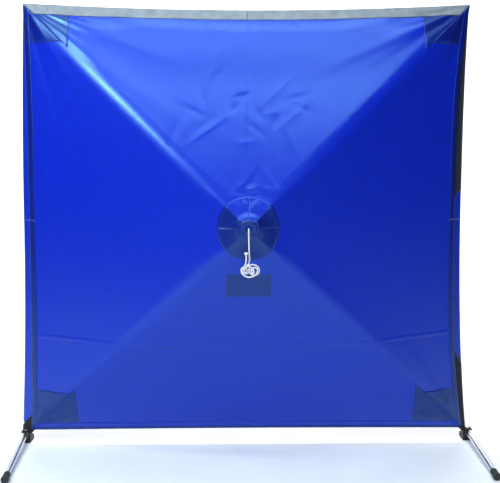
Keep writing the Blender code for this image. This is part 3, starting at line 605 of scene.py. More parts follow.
def cord_route():
    """The cord's way: out of the bolt, over a soft bend, down, round the hank and up to its tail."""
    settings = bpy.context.scene.screen_cord
    hank = middle("pull_cord_hank")
    depth = (high("pull_cord_hank").y - low("pull_cord_hank").y) / 2 - CORD_RADIUS
    top = high("pull_cord_hank").z
    hang = hank.y
    bend = MOUTH_Y - hang
    stops = [Vector((0, MOUTH_Y + 0.028, HUB.z)), Vector((0, MOUTH_Y + 0.014, HUB.z)),
             Vector((0, MOUTH_Y, HUB.z))]
    for degrees in (30, 60, 90):
        a = math.radians(degrees)
        stops.append(Vector((0, MOUTH_Y - bend * math.sin(a), HUB.z - bend * (1 - math.cos(a)))))
    drop = HUB.z - bend - top
    stops += [Vector((0.0005, hang, HUB.z - bend - drop * 0.33)),
              Vector((0.0015, hang + 0.001, HUB.z - bend - drop * 0.66)),
              Vector((0.001, hang + 0.4 * depth, top))]
    turns, steps = settings.turns, 16
    for i in range(1, turns * steps + 1):
        f = i / (turns * steps)
        a = math.radians(150) + 2 * math.pi * i / steps
        petal = math.radians(150) + 2 * math.pi * i / steps * 0.4
        grow = min(1.0, 0.6 + 2.0 * f) - 0.3 * max(0.0, f * 8 - 7)
        wide, tall = 0.0155 * grow, 0.0165 * grow
        hub_x, hub_z = 0.0260 * grow * math.cos(petal), 0.0090 * grow * math.sin(petal)
        stops.append(Vector((hank.x + hub_x + wide * math.cos(a), hank.y + depth * (1.4 - 2.8 * f),
                             hank.z + hub_z + tall * math.sin(a))))
    last = stops[-1]
    tail = Vector((-0.0105, hang - 0.010, top + 0.036))
    stops += [last.lerp(tail, 0.45) + Vector((0.006, -0.004, 0.0)), tail]
    return stops


def pull_cord():
    points, length = smooth_route(cord_route(), 0.0016)
    cord = braided_tube("pull_cord_braid", points, CORD_RADIUS)
    way = (points[-1] - points[-4]).normalized()
    knot = small_knot("cord_end_knot", points[-1] + way * 0.003, 0.0052, way)
    stop = small_knot("cord_stop_knot_tied", middle("cord_stop_knot"), 0.0042, (0, 1, 0))
    for piece in (cord, knot, stop):
        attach(piece, "hub")
    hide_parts("pull_cord", "pull_cord_hank")
    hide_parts("cord_stop_knot")


# ---------------------------------------------------------------- cloth

def crease(x, h, spot, degrees, length, width, height):
    """A single soft crease: a long narrow swell at an angle."""
    c, s = math.cos(math.radians(degrees)), math.sin(math.radians(degrees))
    a = (x - spot[0]) * c + (h - spot[1]) * s
    b = -(x - spot[0]) * s + (h - spot[1]) * c
    return height * np.exp(-(a / length) ** 2 - (b / width) ** 2)


def fan(x, h, corner, degrees, start, stop, width, height):
    """A fold that runs out from a corner, widening and fading on its way."""
    c, s = math.cos(math.radians(degrees)), math.sin(math.radians(degrees))
    a = (x - corner[0]) * c + (h - corner[1]) * s
    b = -(x - corner[0]) * s + (h - corner[1]) * c
    spread = width * (0.45 + 0.9 * np.clip(a, 0, None) / stop)
    fade = smoothstep(a / start) * (1 - smoothstep((a - start) / (stop - start)))
    return height * fade * np.exp(-(b / spread) ** 2)


def scattered(seed, count, middle_x, middle_h, half_x, half_h):
    """Seeded creases inside an oblong: place, angle, length, width, height."""
    rng = random.Random(seed)
    rows = []
    for _ in range(count):
        rows.append(((middle_x + rng.uniform(-half_x, half_x), middle_h + rng.uniform(-half_h, half_h)),
                     rng.uniform(-75, 75), rng.uniform(0.03, 0.09), rng.uniform(0.008, 0.016),
                     rng.choice((-1, 1)) * rng.uniform(0.0008, 0.0020)))
    return rows


CREASES = (scattered(11, 26, -0.02, 0.50, 0.30, 0.16) + scattered(12, 16, 0.0, 0.13, 0.10, 0.06)
           + scattered(13, 8, 0.88, -0.88, 0.09, 0.07) + scattered(14, 6, -0.88, -0.90, 0.07, 0.05)
           + scattered(15, 10, -0.15, -0.55, 0.50, 0.25) + scattered(16, 8, 0.0, 0.84, 0.35, 0.06))
FANS = (((-1, 1), -6, 0.10, 0.95, 0.020, 0.0050), ((-1, 1), -13, 0.10, 0.80, 0.022, -0.0040),
        ((-1, 1), -21, 0.12, 0.90, 0.026, 0.0042), ((-1, 1), -30, 0.12, 0.70, 0.024, -0.0036),
        ((-1, 1), -37, 0.15, 1.10, 0.030, 0.0038), ((-1, 1), -58, 0.10, 0.60, 0.022, 0.0026),
        ((-1, 1), -72, 0.10, 0.75, 0.022, -0.0024), ((1, 1), 187, 0.10, 0.85, 0.020, 0.0046),
        ((1, 1), 195, 0.10, 0.75, 0.022, -0.0040), ((1, 1), 204, 0.12, 0.95, 0.026, 0.0042),
        ((1, 1), 214, 0.12, 0.70, 0.024, -0.0034), ((1, 1), 238, 0.10, 0.60, 0.022, 0.0026),
        ((1, 1), 252, 0.10, 0.70, 0.022, -0.0024), ((1, -1), 126, 0.10, 0.80, 0.030, 0.0030),
        ((-1, -1), 58, 0.10, 0.60, 0.024, 0.0022), ((1, -1), 160, 0.08, 0.45, 0.018, 0.0020),
        ((-1, -1), 20, 0.08, 0.45, 0.018, 0.0020))


def relief(x, h, share, rise):
    """How far the folds and creases stand in front of the taut cloth."""
    total = np.zeros_like(x)
    for row in CREASES:
        total += crease(x, h, *row)
    for (sx, sz), *row in FANS:
        total += fan(x, h, (sx * HALF_WIDTH, sz * HALF_HEIGHT), *row)
    total += crease(x, h, (0.004, 0.52), 90, 0.34, 0.007, 0.0016)
    total += 0.0030 * np.sin(2.1 * x + 1.0) * np.sin(3.3 * h + 0.4) * np.sin(1.7 * (x + h))
    t = np.clip(np.abs(x) / np.maximum(np.abs(h), 1e-6), 0, 1)
    brow = smoothstep((share - 0.62) / 0.26) * (1 - smoothstep((share - 0.885) / 0.115))
    total += np.where(rise & (h > 0), 0.013 * brow * (1 - t ** 4), 0.0)
    ripple = np.sin(x * 34 + 1.3 * np.sin(x * 9)) * smoothstep((np.abs(x) - 0.45) / 0.3)
    total += np.where(rise & (h > 0), 0.0022 * ripple * (1 - t ** 6) * smoothstep((share - 0.90) / 0.08), 0.0)
    near_edge = 1 - 0.55 * smoothstep((share - 0.93) / 0.07)
    return total * near_edge * smoothstep((np.hypot(x, h) - 0.045) / 0.05)


def skin(u, v, lift=0.0):
    """Points of the cloth for panel coordinates from -1 to 1, and lift metres in front of it."""
    u, v = np.asarray(u, float), np.asarray(v, float)
    au, av = np.abs(u), np.abs(v)
    share = np.maximum(au, av)
    t = np.minimum(au, av) / np.maximum(share, 1e-9)
    rise = av >= au
    sag_up = np.where(v > 0, TOP_SAG, BOTTOM_SAG) * (1 - t ** 2)
    sag_in = np.where(u < 0, SIDE_SAG[-1], SIDE_SAG[1]) * (1 - t ** 3)
    x = np.where(rise, u * HALF_WIDTH, u * (HALF_WIDTH - sag_in))
    h = np.where(rise, v * (HALF_HEIGHT - sag_up), v * HALF_HEIGHT)
    square = np.maximum(np.hypot(x, h), 1e-9)
    into_round = 1 - smoothstep((share - 0.04) / 0.06)
    scale = 1 + into_round * (share * HALF_WIDTH / square - 1)
    x, h = x * scale, h * scale
    r = np.hypot(x, h)
    roll = RIDGE_WIDTH * smoothstep((share - 0.05) / 0.15) * (1 - 0.6 * smoothstep((share - 0.85) / 0.15))
    beside = np.clip(1 - np.abs(au - av) / np.maximum(roll, 1e-6), 0, 1)
    cone_share = np.maximum(np.abs(x) / HALF_WIDTH, np.abs(h) / HALF_HEIGHT)
    reach = share * (1 - into_round) + cone_share * into_round + beside ** 2 * roll / 4
    y = PEAK_Y + BULGE * reach
    over_plate = 1 - smoothstep((r - FLAT_RADIUS) / (CONE_RADIUS - FLAT_RADIUS))
    y = y + (DISC_Y - y) * over_plate
    y = y - relief(x, h, share, rise) * (1 - 0.7 * beside ** 2) - lift
    return np.stack([x, y, HUB.z + h], axis=-1)


def whole_cloth():
    """One grid over the whole panel, cut along both diagonals and drawn out to the cloth's shape."""
    deselect()
    bpy.ops.mesh.primitive_grid_add(x_subdivisions=2 * GRID_HALF, y_subdivisions=2 * GRID_HALF, size=2)
    obj = bpy.context.object
    obj.name = obj.data.name = "whole_cloth"
    bpy.ops.object.mode_set(mode="EDIT")
    for way in ((1, -1, 0), (1, 1, 0)):
        bpy.ops.mesh.select_all(action="SELECT")
        bpy.ops.mesh.bisect(plane_co=(0, 0, 0), plane_no=way, use_fill=False)
    bpy.ops.mesh.select_all(action="DESELECT")
    bpy.ops.object.mode_set(mode="OBJECT")
    mesh = obj.data
    flat = np.zeros(len(mesh.vertices) * 3)
    mesh.vertices.foreach_get("co", flat)
    flat = flat.reshape(-1, 3)
    inner = np.hypot(flat[:, 0], flat[:, 1]) < 0.5 / GRID_HALF
    for index in np.flatnonzero(inner):
        mesh.vertices[index].select = True
    bpy.ops.object.mode_set(mode="EDIT")
    bpy.ops.mesh.delete(type="VERT")
    bpy.ops.object.mode_set(mode="OBJECT")
    flat = flat[~inner]
    assert len(flat) == len(mesh.vertices)
    mesh.vertices.foreach_set("co", skin(flat[:, 0], flat[:, 1]).ravel())
    mesh.update()
    while mesh.uv_layers:
        mesh.uv_layers.remove(mesh.uv_layers[0])
    uv = mesh.uv_layers.new(name="cloth")
    index = np.zeros(len(mesh.loops), int)
    mesh.loops.foreach_get("vertex_index", index)
    uv.data.foreach_set("uv", (flat[index, :2] * (HALF_WIDTH, HALF_HEIGHT)).ravel())
    mesh.shade_smooth()
    normals = mesh.attributes.new("whole_normal", "FLOAT_VECTOR", "POINT")
    normals.data.foreach_set("vector", np.array([v.normal[:] for v in mesh.vertices]).ravel())
    return obj


def cut_out(obj, name, chosen):
    """Separate the faces whose middles are chosen into a piece of their own."""
    pick(obj)
    bpy.ops.object.mode_set(mode="EDIT")
    bpy.ops.mesh.select_all(action="DESELECT")
    bpy.ops.object.mode_set(mode="OBJECT")
    for polygon in obj.data.polygons:
        polygon.select = chosen(polygon.center.x, polygon.center.z - HUB.z)
    bpy.ops.object.mode_set(mode="EDIT")
    bpy.ops.mesh.separate(type="SELECTED")
    bpy.ops.object.mode_set(mode="OBJECT")
    piece = next(other for other in bpy.context.selected_objects if other is not obj)
    piece.name = piece.data.name = name
    return piece


def share_normals(obj):
    """Use the whole panel's normals on both faces, so that no join between pieces shows."""
    mesh = obj.data
    stored = [Vector(item.vector) for item in mesh.attributes["whole_normal"].data]
    normals = []
    for polygon in mesh.polygons:
        for i in polygon.loop_indices:
            normal = stored[mesh.loops[i].vertex_index]
            side = polygon.normal.dot(normal)
            normals.append(normal if side > 0.5 else -normal if side < -0.5 else polygon.normal)
    mesh.normals_split_custom_set(normals)


def thicken(obj, thickness, slot):
    apply_modifier(obj, "SOLIDIFY", thickness=thickness, offset=0.0)
    obj.data.materials.clear()
    obj.data.materials.append(finish_of(slot))


def panel_uv(kind, sx, sz, share, t):
    """Panel coordinates of a share of the way out and a place along the edge on one facet."""
    share, t = np.asarray(share, float), np.asarray(t, float)
    if kind == "rise":
        return sx * share * t, sz * share
    return sx * share, sz * share * t


def sewn_layer(name, facet, starts, stops, t_span, lift, thickness, slot, rows=8, columns=60):
    """A thin layer on one facet, between two shares of the way out that depend on t."""
    kind, sx, sz = PANELS[facet]
    ts = np.linspace(*t_span, columns + 1)
    f = np.linspace(0, 1, rows + 1)[:, None]
    share = starts(ts) * (1 - f) + stops(ts) * f
    u, v = panel_uv(kind, sx, sz, share, np.broadcast_to(ts, share.shape))
    return laid(name, u, v, lift, thickness, slot)


def laid(name, u, v, lift, thickness, slot):
    """A thin layer over a grid of panel coordinates, its faces turned to the front."""
    points = skin(u, v, lift)
    rows, columns = u.shape
    bm = bmesh.new()
    uv = bm.loops.layers.uv.new("cloth")
    verts = [[bm.verts.new(points[i, j]) for j in range(columns)] for i in range(rows)]
    spots = np.stack([u * HALF_WIDTH, v * HALF_HEIGHT], axis=-1)
    for i in range(rows - 1):
        for j in range(columns - 1):
            cells = [(i, j), (i, j + 1), (i + 1, j + 1), (i + 1, j)]
            face = bm.faces.new([verts[a][b] for a, b in cells])
            face.smooth = True
            for loop, (a, b) in zip(face.loops, cells):
                loop[uv].uv = spots[a, b]
    bmesh.ops.remove_doubles(bm, verts=bm.verts, dist=0.00002)
    bm.normal_update()
    if sum(face.normal.y * face.calc_area() for face in bm.faces) > 0:
        bmesh.ops.reverse_faces(bm, faces=bm.faces)
    obj = new_object(name, bm)
    apply_modifier(obj, "SOLIDIFY", thickness=thickness, offset=-1.0)
    obj.data.materials.append(finish_of(slot))
    return obj


def stitch_rows(name, rows, lift):
    """Lock stitches: one small thread lozenge, copied along each row of panel coordinates."""
    bm = bmesh.new()
    for u, v in rows:
        points = [Vector(p) for p in skin(u, v, lift)]
        runs = [0.0]
        for p, q in zip(points, points[1:]):
            runs.append(runs[-1] + (q - p).length)
        count = int(runs[-1] / bpy.context.scene.screen_cloth.stitch)
        k = 0
        for n in range(count):
            want = (n + 0.5) * runs[-1] / count
            while k < len(runs) - 2 and runs[k + 1] < want:
                k += 1
            way = (points[k + 1] - points[k]).normalized()
            spot = points[k].lerp(points[k + 1], (want - runs[k]) / max(runs[k + 1] - runs[k], 1e-9))
            out = Vector((0, -1, 0))
            side = way.cross(out).normalized()
            out = side.cross(way)
            tips = [spot - way * 0.0018, spot + way * 0.0018]
            ring = [spot + side * 0.0007, spot + out * 0.0007, spot - side * 0.0007, spot - out * 0.0003]
            ends = [bm.verts.new(tip) for tip in tips]
            belt = [bm.verts.new(point) for point in ring]
            for i in range(4):
                bm.faces.new((ends[0], belt[(i + 1) % 4], belt[i]))
                bm.faces.new((ends[1], belt[i], belt[(i + 1) % 4]))
    bmesh.ops.recalc_face_normals(bm, faces=bm.faces)
    obj = new_object(name, bm)
    obj.data.materials.append(finish_of("stitch_blue"))
    obj.data.shade_smooth()
    return obj


def constant(value):
    return lambda ts: np.full_like(ts, value)


SLANT = math.hypot(HALF_HEIGHT, BULGE)
OBLONG = (0.094, 0.196, 0.297)          # half width, and the two edges below the hub
CORNER_PATCH = {(-1, 1): (0.787, 0.818), (1, 1): (0.782, 0.815), (-1, -1): (0.776, 0.800),
                (1, -1): (0.758, 0.800)}
SEAM_LEVEL = -0.545


def round_share(kind, radius):
    """Share at which a circle round the hub crosses the ray at t."""
    if kind == "rise":
        return lambda ts: radius / np.hypot(ts * HALF_WIDTH, HALF_HEIGHT)
    return lambda ts: radius / np.hypot(HALF_WIDTH, ts * HALF_HEIGHT)


def seam_wave(x):
    """The joining seam runs level on the left and climbs a little on the right."""
    return SEAM_LEVEL + 0.016 * smoothstep((x - 0.2) / 0.6) + 0.003 * np.sin(6 * x)


def hub_patch(facet, tag):
    """The round patch at the hub, double stitched round its edge, with painted light: a lighter tone on the
    top facets and a darker one elsewhere.
    """
    kind, sx, sz = PANELS[facet]
    patch = bpy.context.scene.screen_cloth.patch_radius
    inner, ring = round_share(kind, CENTRE_EDGE + 0.0004), round_share(kind, patch)
    # painted light: the one patch takes the plain cloth's lighter tone on the top facets, where the light
    # falls, and the darker doubled tone on the side and lower facets
    tone_by_light = "coated_cloth_blue" if (kind, sz) == ("rise", 1) else "doubled_cloth_blue"
    piece = sewn_layer("hub_patch_" + tag, facet, inner, ring, (0, 1), PATCH_LIFT, PATCH, tone_by_light, 14, 24)
    ts = np.linspace(0.0, 1.0, 60)
    return [piece], [panel_uv(kind, sx, sz, round_share(kind, radius)(ts), ts)
                     for radius in (patch - 0.005, patch - 0.012)]


def corner_patch(facet, tag):
    """Half of a square patch in the corner, double stitched along its inner edge."""
    kind, sx, sz = PANELS[facet]
    edge = CORNER_PATCH[(sx, sz)][0 if kind == "rise" else 1]
    piece = sewn_layer("corner_patch_" + tag, facet, lambda ts: edge / ts, constant(0.9995), (edge, 1),
                       PATCH_LIFT, PATCH, "doubled_cloth_blue", 26, 26)
    rows = []
    for inset in (0.006, 0.013):
        ts = np.linspace(edge + inset, 1.0, 60)
        rows.append(panel_uv(kind, sx, sz, (edge + inset) / ts, ts))
    return [piece], rows


def cord_patch(facet, tag):
    """Half of the oblong patch below the hub, where the hank rubs."""
    sx = PANELS[facet][1]
    half, upper, lower = OBLONG
    inset = 0.006
    u, v = np.meshgrid(np.linspace(0, sx * half, 20), np.linspace(-upper, -lower, 20))
    piece = laid("cord_patch_" + tag, u / HALF_WIDTH, v / HALF_HEIGHT, PATCH_LIFT, PATCH,
                 "doubled_cloth_blue")
    a = np.linspace(0, sx * (half - inset), 30)
    b = np.linspace(-upper - inset, -lower + inset, 30)
    rows = [(a / HALF_WIDTH, np.full_like(a, level) / HALF_HEIGHT)
            for level in (-upper - inset, -lower + inset)]
    return [piece], rows + [(np.full_like(b, sx * (half - inset)) / HALF_WIDTH, b / HALF_HEIGHT)]


def lap_seam(facet, tag):
    """The lap where two widths of cloth are joined, with a row of stitches along each edge."""
    kind, sx, _ = PANELS[facet]
    if kind == "rise":
        u = np.linspace(0, 1.0, 90) * abs(SEAM_LEVEL) * sx
    else:
        u = np.linspace(abs(SEAM_LEVEL) + 0.004, 1.0, 70) * sx
    level = seam_wave(u)
    keep = np.abs(level) >= np.abs(u) if kind == "rise" else np.abs(level) <= np.abs(u)
    u, level = u[keep], level[keep]
    v = level + np.linspace(-0.010, 0.010, 5)[:, None] / HALF_HEIGHT
    limit = np.abs(np.broadcast_to(u, v.shape))
    v = np.where(kind == "rise", -np.maximum(np.abs(v), limit), -np.minimum(np.abs(v), limit))
    piece = laid("lap_seam_" + tag, np.broadcast_to(u, v.shape).copy(), v, LAP_LIFT, LAP, "coated_cloth_blue")
    return [piece], [(u, level + offset / HALF_HEIGHT) for offset in (-0.006, 0.006)]


def side_binding(facet, tag):
    """A doubled binding down the side edge."""
    kind, sx, sz = PANELS[facet]
    width = 0.026
    piece = sewn_layer("side_binding_" + tag, facet, constant(1 - width), constant(1.0), (0, 1), BINDING_LIFT,
                       BINDING, "doubled_cloth_blue", 6, 110)
    ts = np.linspace(0, 1.0, 120)
    return [piece], [panel_uv(kind, sx, sz, np.full_like(ts, 1 - width + 0.004), ts)]


def top_band(facet, tag):
    """The reflective tape along the top edge, a little wavy where it is sewn."""
    kind, sx, sz = PANELS[facet]
    wave = lambda ts: 1 - TAPE_WIDTH / SLANT + 0.0012 * np.sin(23 * ts) * ts
    piece = sewn_layer("reflective_band_" + tag, facet, wave, constant(1.0005), (0, 1), BAND_LIFT, BAND,
                       "reflective_tape", 10, 130)
    ts = np.linspace(0, 1.0, 130)
    return [piece], [panel_uv(kind, sx, sz, wave(ts) + 0.003, ts)]


def bottom_edge(facet, tag):
    """The dark hem along the bottom edge, over the cloth's turn-up."""
    kind, sx, sz = PANELS[facet]
    hem = sewn_layer("bottom_hem_" + tag, facet, constant(1 - HEM_WIDTH / SLANT), constant(1.0005), (0, 1),
                     BAND_LIFT, BAND, "hem_cloth_dark", 3, 110)
    turnup = sewn_layer("bottom_turnup_" + tag, facet, constant(1 - 0.040 / SLANT), constant(1.0), (0, 1),
                        TURNUP_LIFT, TURNUP, "coated_cloth_blue", 6, 110)
    ts = np.linspace(0, 1.0, 130)
    return [hem, turnup], [panel_uv(kind, sx, sz, np.full_like(ts, 1 - 0.034 / SLANT), ts)]


def facet_layers(facet):
    """Patches, bindings and seams on one facet, and the stitches that hold them."""
    kind, _, sz = PANELS[facet]
    tag = facet.replace("cloth_", "")
    makers = [hub_patch, corner_patch]
    if kind == "rise" and sz < 0:
        makers.append(cord_patch)
    if sz < 0:
        makers.append(lap_seam)
    if kind == "side":
        makers.append(side_binding)
    else:
        makers.append(top_band if sz > 0 else bottom_edge)
    pieces, rows = [], []
    for maker in makers:
        made, sewn = maker(facet, tag)
        pieces += made
        rows += sewn
    return pieces + [stitch_rows("stitching_" + tag, rows, STITCH_LIFT)]


def corner_name(sx, sz):
    return next(name for name, signs in CORNERS.items() if signs == (sx, sz))


def fold_facet(piece):
    """Give a piece its own copy of its mesh; nothing is flattened here, though the real cloth crumples
    towards its rod as the rods fold.
    """
    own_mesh(piece)


LAYER_NODES = {"reflective_band_top_left": "reflective_tape_left",
               "reflective_band_top_right": "reflective_tape_right",
               "bottom_hem_bottom_left": "bottom_hem_left", "bottom_hem_bottom_right": "bottom_hem_right"}


def cloth():
    whole = whole_cloth()
    centre = cut_out(whole, "cloth_centre_disc", lambda x, h: math.hypot(x, h) < CENTRE_EDGE)
    pieces = {}
    for facet, (kind, sx, sz) in PANELS.items():
        def inside(x, h):
            rise = abs(h) / HALF_HEIGHT > abs(x) / HALF_WIDTH
            return x * sx > 0 and h * sz > 0 and rise == (kind == "rise")
        if len(pieces) < len(PANELS) - 1:
            pieces[facet] = cut_out(whole, facet + "_panel", inside)
        else:
            whole.name = whole.data.name = facet + "_panel"
            pieces[facet] = whole
    for piece in (centre, *pieces.values()):
        thicken(piece, CLOTH, "coated_cloth_blue")
        share_normals(piece)
    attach(centre, "hub")
    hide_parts("cloth_centre")
    a = np.linspace(0, 2 * math.pi, 65)
    patch = flat_disc("hub_patch_centre", np.array([(radius * np.cos(a), radius * np.sin(a))
                                                    for radius in np.linspace(0.0106, CENTRE_EDGE, 5)]))
    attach(patch, "hub")
    for facet, piece in pieces.items():
        kind, sx, sz = PANELS[facet]
        body = "rod_" + corner_name(sx, sz)
        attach(piece, body)
        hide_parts(facet)
        layers = facet_layers(facet)
        for layer in layers:
            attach(layer, body)
            if layer.name in LAYER_NODES:
                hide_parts(LAYER_NODES[layer.name])
        for each in (piece, *layers):
            fold_facet(each)


def flat_disc(name, rings):
    """The patch's middle, flat over the hub's front plate."""
    bm = bmesh.new()
    uv = bm.loops.layers.uv.new("cloth")
    y = DISC_Y - CLOTH / 2 - 0.0010
    verts = [[bm.verts.new((x, y, HUB.z + h)) for x, h in zip(xs[:-1], hs[:-1])] for xs, hs in rings]
    for inner, outer in zip(verts, verts[1:]):
        for k in range(len(inner)):
            m = (k + 1) % len(inner)
            face = bm.faces.new((inner[k], outer[k], outer[m], inner[m]))
            face.smooth = True
            for loop in face.loops:
                loop[uv].uv = (loop.vert.co.x, loop.vert.co.z - HUB.z)
    bm.normal_update()
    if sum(face.normal.y for face in bm.faces) > 0:
        bmesh.ops.reverse_faces(bm, faces=bm.faces)
    obj = new_object(name, bm)
    apply_modifier(obj, "SOLIDIFY", thickness=PATCH, offset=-1.0)
    obj.data.materials.append(finish_of("doubled_cloth_blue"))
    return obj


# ---------------------------------------------------------------- side flaps

def rounding(ts, end):
    """How much narrower the flap grows over its last stretch, towards a round end."""
    past = np.clip((ts - end + 0.02) / 0.02, 0, 1)
    return 0.018 * (1 - np.sqrt(np.clip(1 - past ** 2, 0, 1)))


def side_flaps():
    """Blue joining flaps behind the side edges, each with a black hook-and-loop tape on its front."""
    for corner, (sx, sz) in CORNERS.items():
        facet = next(name for name, row in PANELS.items() if row == ("side", sx, sz))
        end = FLAP_END[sz]
        proud, sag = FLAP_PROUD[sx, sz], FLAP_SAG[sx, sz]
        edge = lambda ts: 1 - SIDE_SAG[sx] * (1 - ts ** 3)
        outer = lambda ts: (1 + proud - sag * (1 - ts ** 2)) / edge(ts)
        flap = sewn_layer("side_flap_cloth_" + corner, facet, lambda ts: 1 - FLAP_OVERLAP / edge(ts),
                          lambda ts: outer(ts) - rounding(ts, end), (0, end), FLAP_LIFT, FLAP,
                          "flap_cloth_blue", 6, 120)
        tape = sewn_layer("hook_tape_" + corner, facet, lambda ts: 1 - FLAP_OVERLAP * 0.8 / edge(ts),
                          lambda ts: 1 + tape_width(ts, sx, sz, outer(ts) - 1), (0, 0.995),
                          HOOK_LIFT, HOOK, "loop_tape_black", 5, 120)
        ts = np.linspace(0.01, end - 0.02, 100)
        rows = [panel_uv("side", sx, sz, 1 + tape_width(ts, sx, sz, outer(ts) - 1) - 0.0025, ts)]
        rows += [panel_uv("side", sx, sz, outer(ts) - 0.003, ts)]
        seam = stitch_rows("flap_stitching_" + corner, rows, FLAP_STITCH_LIFT)
        for piece in (flap, tape, seam):
            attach(piece, "rod_" + corner)
            fold_facet(piece)
        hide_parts("side_flap_" + corner)


def tape_width(ts, sx, sz, room):
    """Width of the hook tape beyond the panel's edge: all of the flap at the right's ends, else a line."""
    line = np.full_like(ts, 0.003)
    if sx > 0:
        line += 0.1 * smoothstep((ts - (0.10 if sz > 0 else 0.62)) / 0.10)
    if sz < 0:
        line += 0.1 * smoothstep((ts - 0.930) / 0.008)      # a tab of tape below the flap's end
    return np.minimum(line, np.maximum(room + 0.0010, 0.001))


# ---------------------------------------------------------------- rods, fittings and pockets

def rod_axes(sx, sz):
    """A rod's own frame: X outward along the rod, origin on its hinge pin."""
    out = Vector((sx * HALF_WIDTH, 0, sz * HALF_HEIGHT)) / CORNER_RADIUS
    x_way = out * math.cos(SLOPE) + Vector((0, math.sin(SLOPE), 0))
    z_way = out * math.sin(SLOPE) - Vector((0, math.cos(SLOPE), 0))
    pin = HUB + out * PIN_CIRCLE
    pin.y = PEAK_Y + PIN_CIRCLE * math.tan(SLOPE) + ROD_DEPTH / math.cos(SLOPE)
    return axes(x_way, z_way, pin)


ALONG_X = Matrix.Rotation(math.pi / 2, 4, "Y")


def rods():
    """Fibreglass rods, each between its ferrule and its tip cap."""
    length = ROD_LENGTH - CAP_SOCKET - FERRULE_SOCKET
    model = turned("rod_model", [(0.0001, 0.0), (ROD_RADIUS - 0.0006, 0.0), (ROD_RADIUS, 0.0006),
                                 (ROD_RADIUS, length - 0.0006), (ROD_RADIUS - 0.0006, length),
                                 (0.0001, length)], 24)
    for corner, (sx, sz) in CORNERS.items():
        piece = copy_of(model, "fibreglass_rod_" + corner)
        settle(piece, rod_axes(sx, sz) @ Matrix.Translation((FERRULE_SOCKET, 0, 0)) @ ALONG_X,
               finish_of("fibreglass_grey"))
        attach(piece, "rod_" + corner)
        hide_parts("rod_" + corner)
    bpy.data.objects.remove(model)


def copy_of(model, name):
    piece = model.copy()
    piece.data = model.data.copy()
    piece.name = piece.data.name = name
    bpy.context.scene.collection.objects.link(piece)
    return piece


def tip_caps():
    """Moulded caps on the upper rod tips, ribbed for grip, round at the end."""
    start, end, radius = ROD_LENGTH - CAP_LENGTH, ROD_LENGTH - UPPER_END, CAP_RADIUS
    profile = [(ROD_RADIUS + 0.0004, start), (radius - 0.0006, start), (radius, start + 0.0006)]
    for i in range(5):
        z = start + 0.004 + i * 0.004
        profile += [(radius, z), (radius - 0.0008, z + 0.0006), (radius - 0.0008, z + 0.0016),
                    (radius, z + 0.0022)]
    profile += [(radius, end - 0.004)]
    profile += [(radius - 0.0039 + 0.0039 * math.cos(a), end - 0.0039 + 0.0039 * math.sin(a))
                for a in (0.4, 0.8, 1.2, 1.57)] + [(0.0001, end)]
    model = turned("tip_cap_model", profile, 24)
    for corner, (sx, sz) in CORNERS.items():
        if sz < 0:
            dress("nylon_black", "tip_cap_" + corner)
            continue
        piece = copy_of(model, "rod_tip_cap_" + corner)
        settle(piece, rod_axes(sx, sz) @ ALONG_X, finish_of("nylon_black"))
        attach(piece, "rod_" + corner)
        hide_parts("tip_cap_" + corner)
    bpy.data.objects.remove(model)


def corner_pockets():
    """Webbing pockets sewn behind the corners: a turned sleeve with bound ends."""
    inner, outer, lip = POCKET_BORE, POCKET_BORE + POCKET_WALL, 0.0005
    for corner, (sx, sz) in CORNERS.items():
        stop = ROD_LENGTH - (UPPER_END if sz > 0 else LOWER_END)
        start = stop - POCKET_LENGTH
        profile = [(outer - lip, start), (outer + 0.0006, start + lip), (outer + 0.0006, start + 0.006),
                   (outer, start + 0.007), (outer, stop - 0.007), (outer + 0.0006, stop - 0.006),
                   (outer + 0.0006, stop - lip)]
        if sz > 0:
            profile += [(outer - 0.001, stop + 0.0010), (outer - 0.004, stop + 0.0016),
                        (0.0001, stop + 0.0017)]
            profile = [(inner, start + 0.010), (inner, start + lip), (inner + lip, start)] + profile
            piece = turned("corner_sleeve_" + corner, profile, 28)
        else:
            profile += [(outer - lip, stop), (inner + lip, stop), (inner, stop - lip), (inner, start + lip),
                        (inner + lip, start)]
            piece = hollow("corner_sleeve_" + corner, profile, 28)
        settle(piece, rod_axes(sx, sz) @ ALONG_X, finish_of("webbing_black"))
        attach(piece, "rod_" + corner)
        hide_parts("corner_pocket_" + corner)


def hub_fittings():
    """Materials of the hub's own moulded and plated pieces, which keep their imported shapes."""
    dress("nylon_black", "hub_body", "hub_front_plate", *("knuckle_" + corner for corner in CORNERS))
    dress("nylon_blue", "hub_eyelet", "hub_bolt")
    dress("zinc_plated_steel", "hub_nut", *("hinge_pin_" + corner for corner in CORNERS))


def feet():
    """Materials of the foot brackets, their pins and the swivel bolts."""
    for side in SIDES:
        dress("nylon_black", "foot_bracket_" + side)
        dress("zinc_plated_steel", "bracket_pin_" + side, "swivel_bolt_" + side)


def leg_axes(side):
    """A leg's frame from its packed tube: X down the leg, origin where it crosses its swivel bolt."""
    name = "leg_tube_" + side
    nodes = np.array([v.co[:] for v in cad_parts[name].data.vertices])
    far = nodes[nodes[:, 1] < nodes[:, 1].min() + 2 * LEG_RADIUS]
    near = nodes[nodes[:, 1] > nodes[:, 1].max() - 2 * LEG_RADIUS * 0.6]
    a = Vector((far.min(0) + far.max(0)) / 2)
    b = Vector((near.min(0) + near.max(0)) / 2)
    way = (a - b).normalized()
    bolt = middle("swivel_bolt_" + side)
    run = (bolt.y - a.y) / way.y
    up = Vector((0, 0, 1)) - way * way.z
    return axes(way, up, a + way * run)


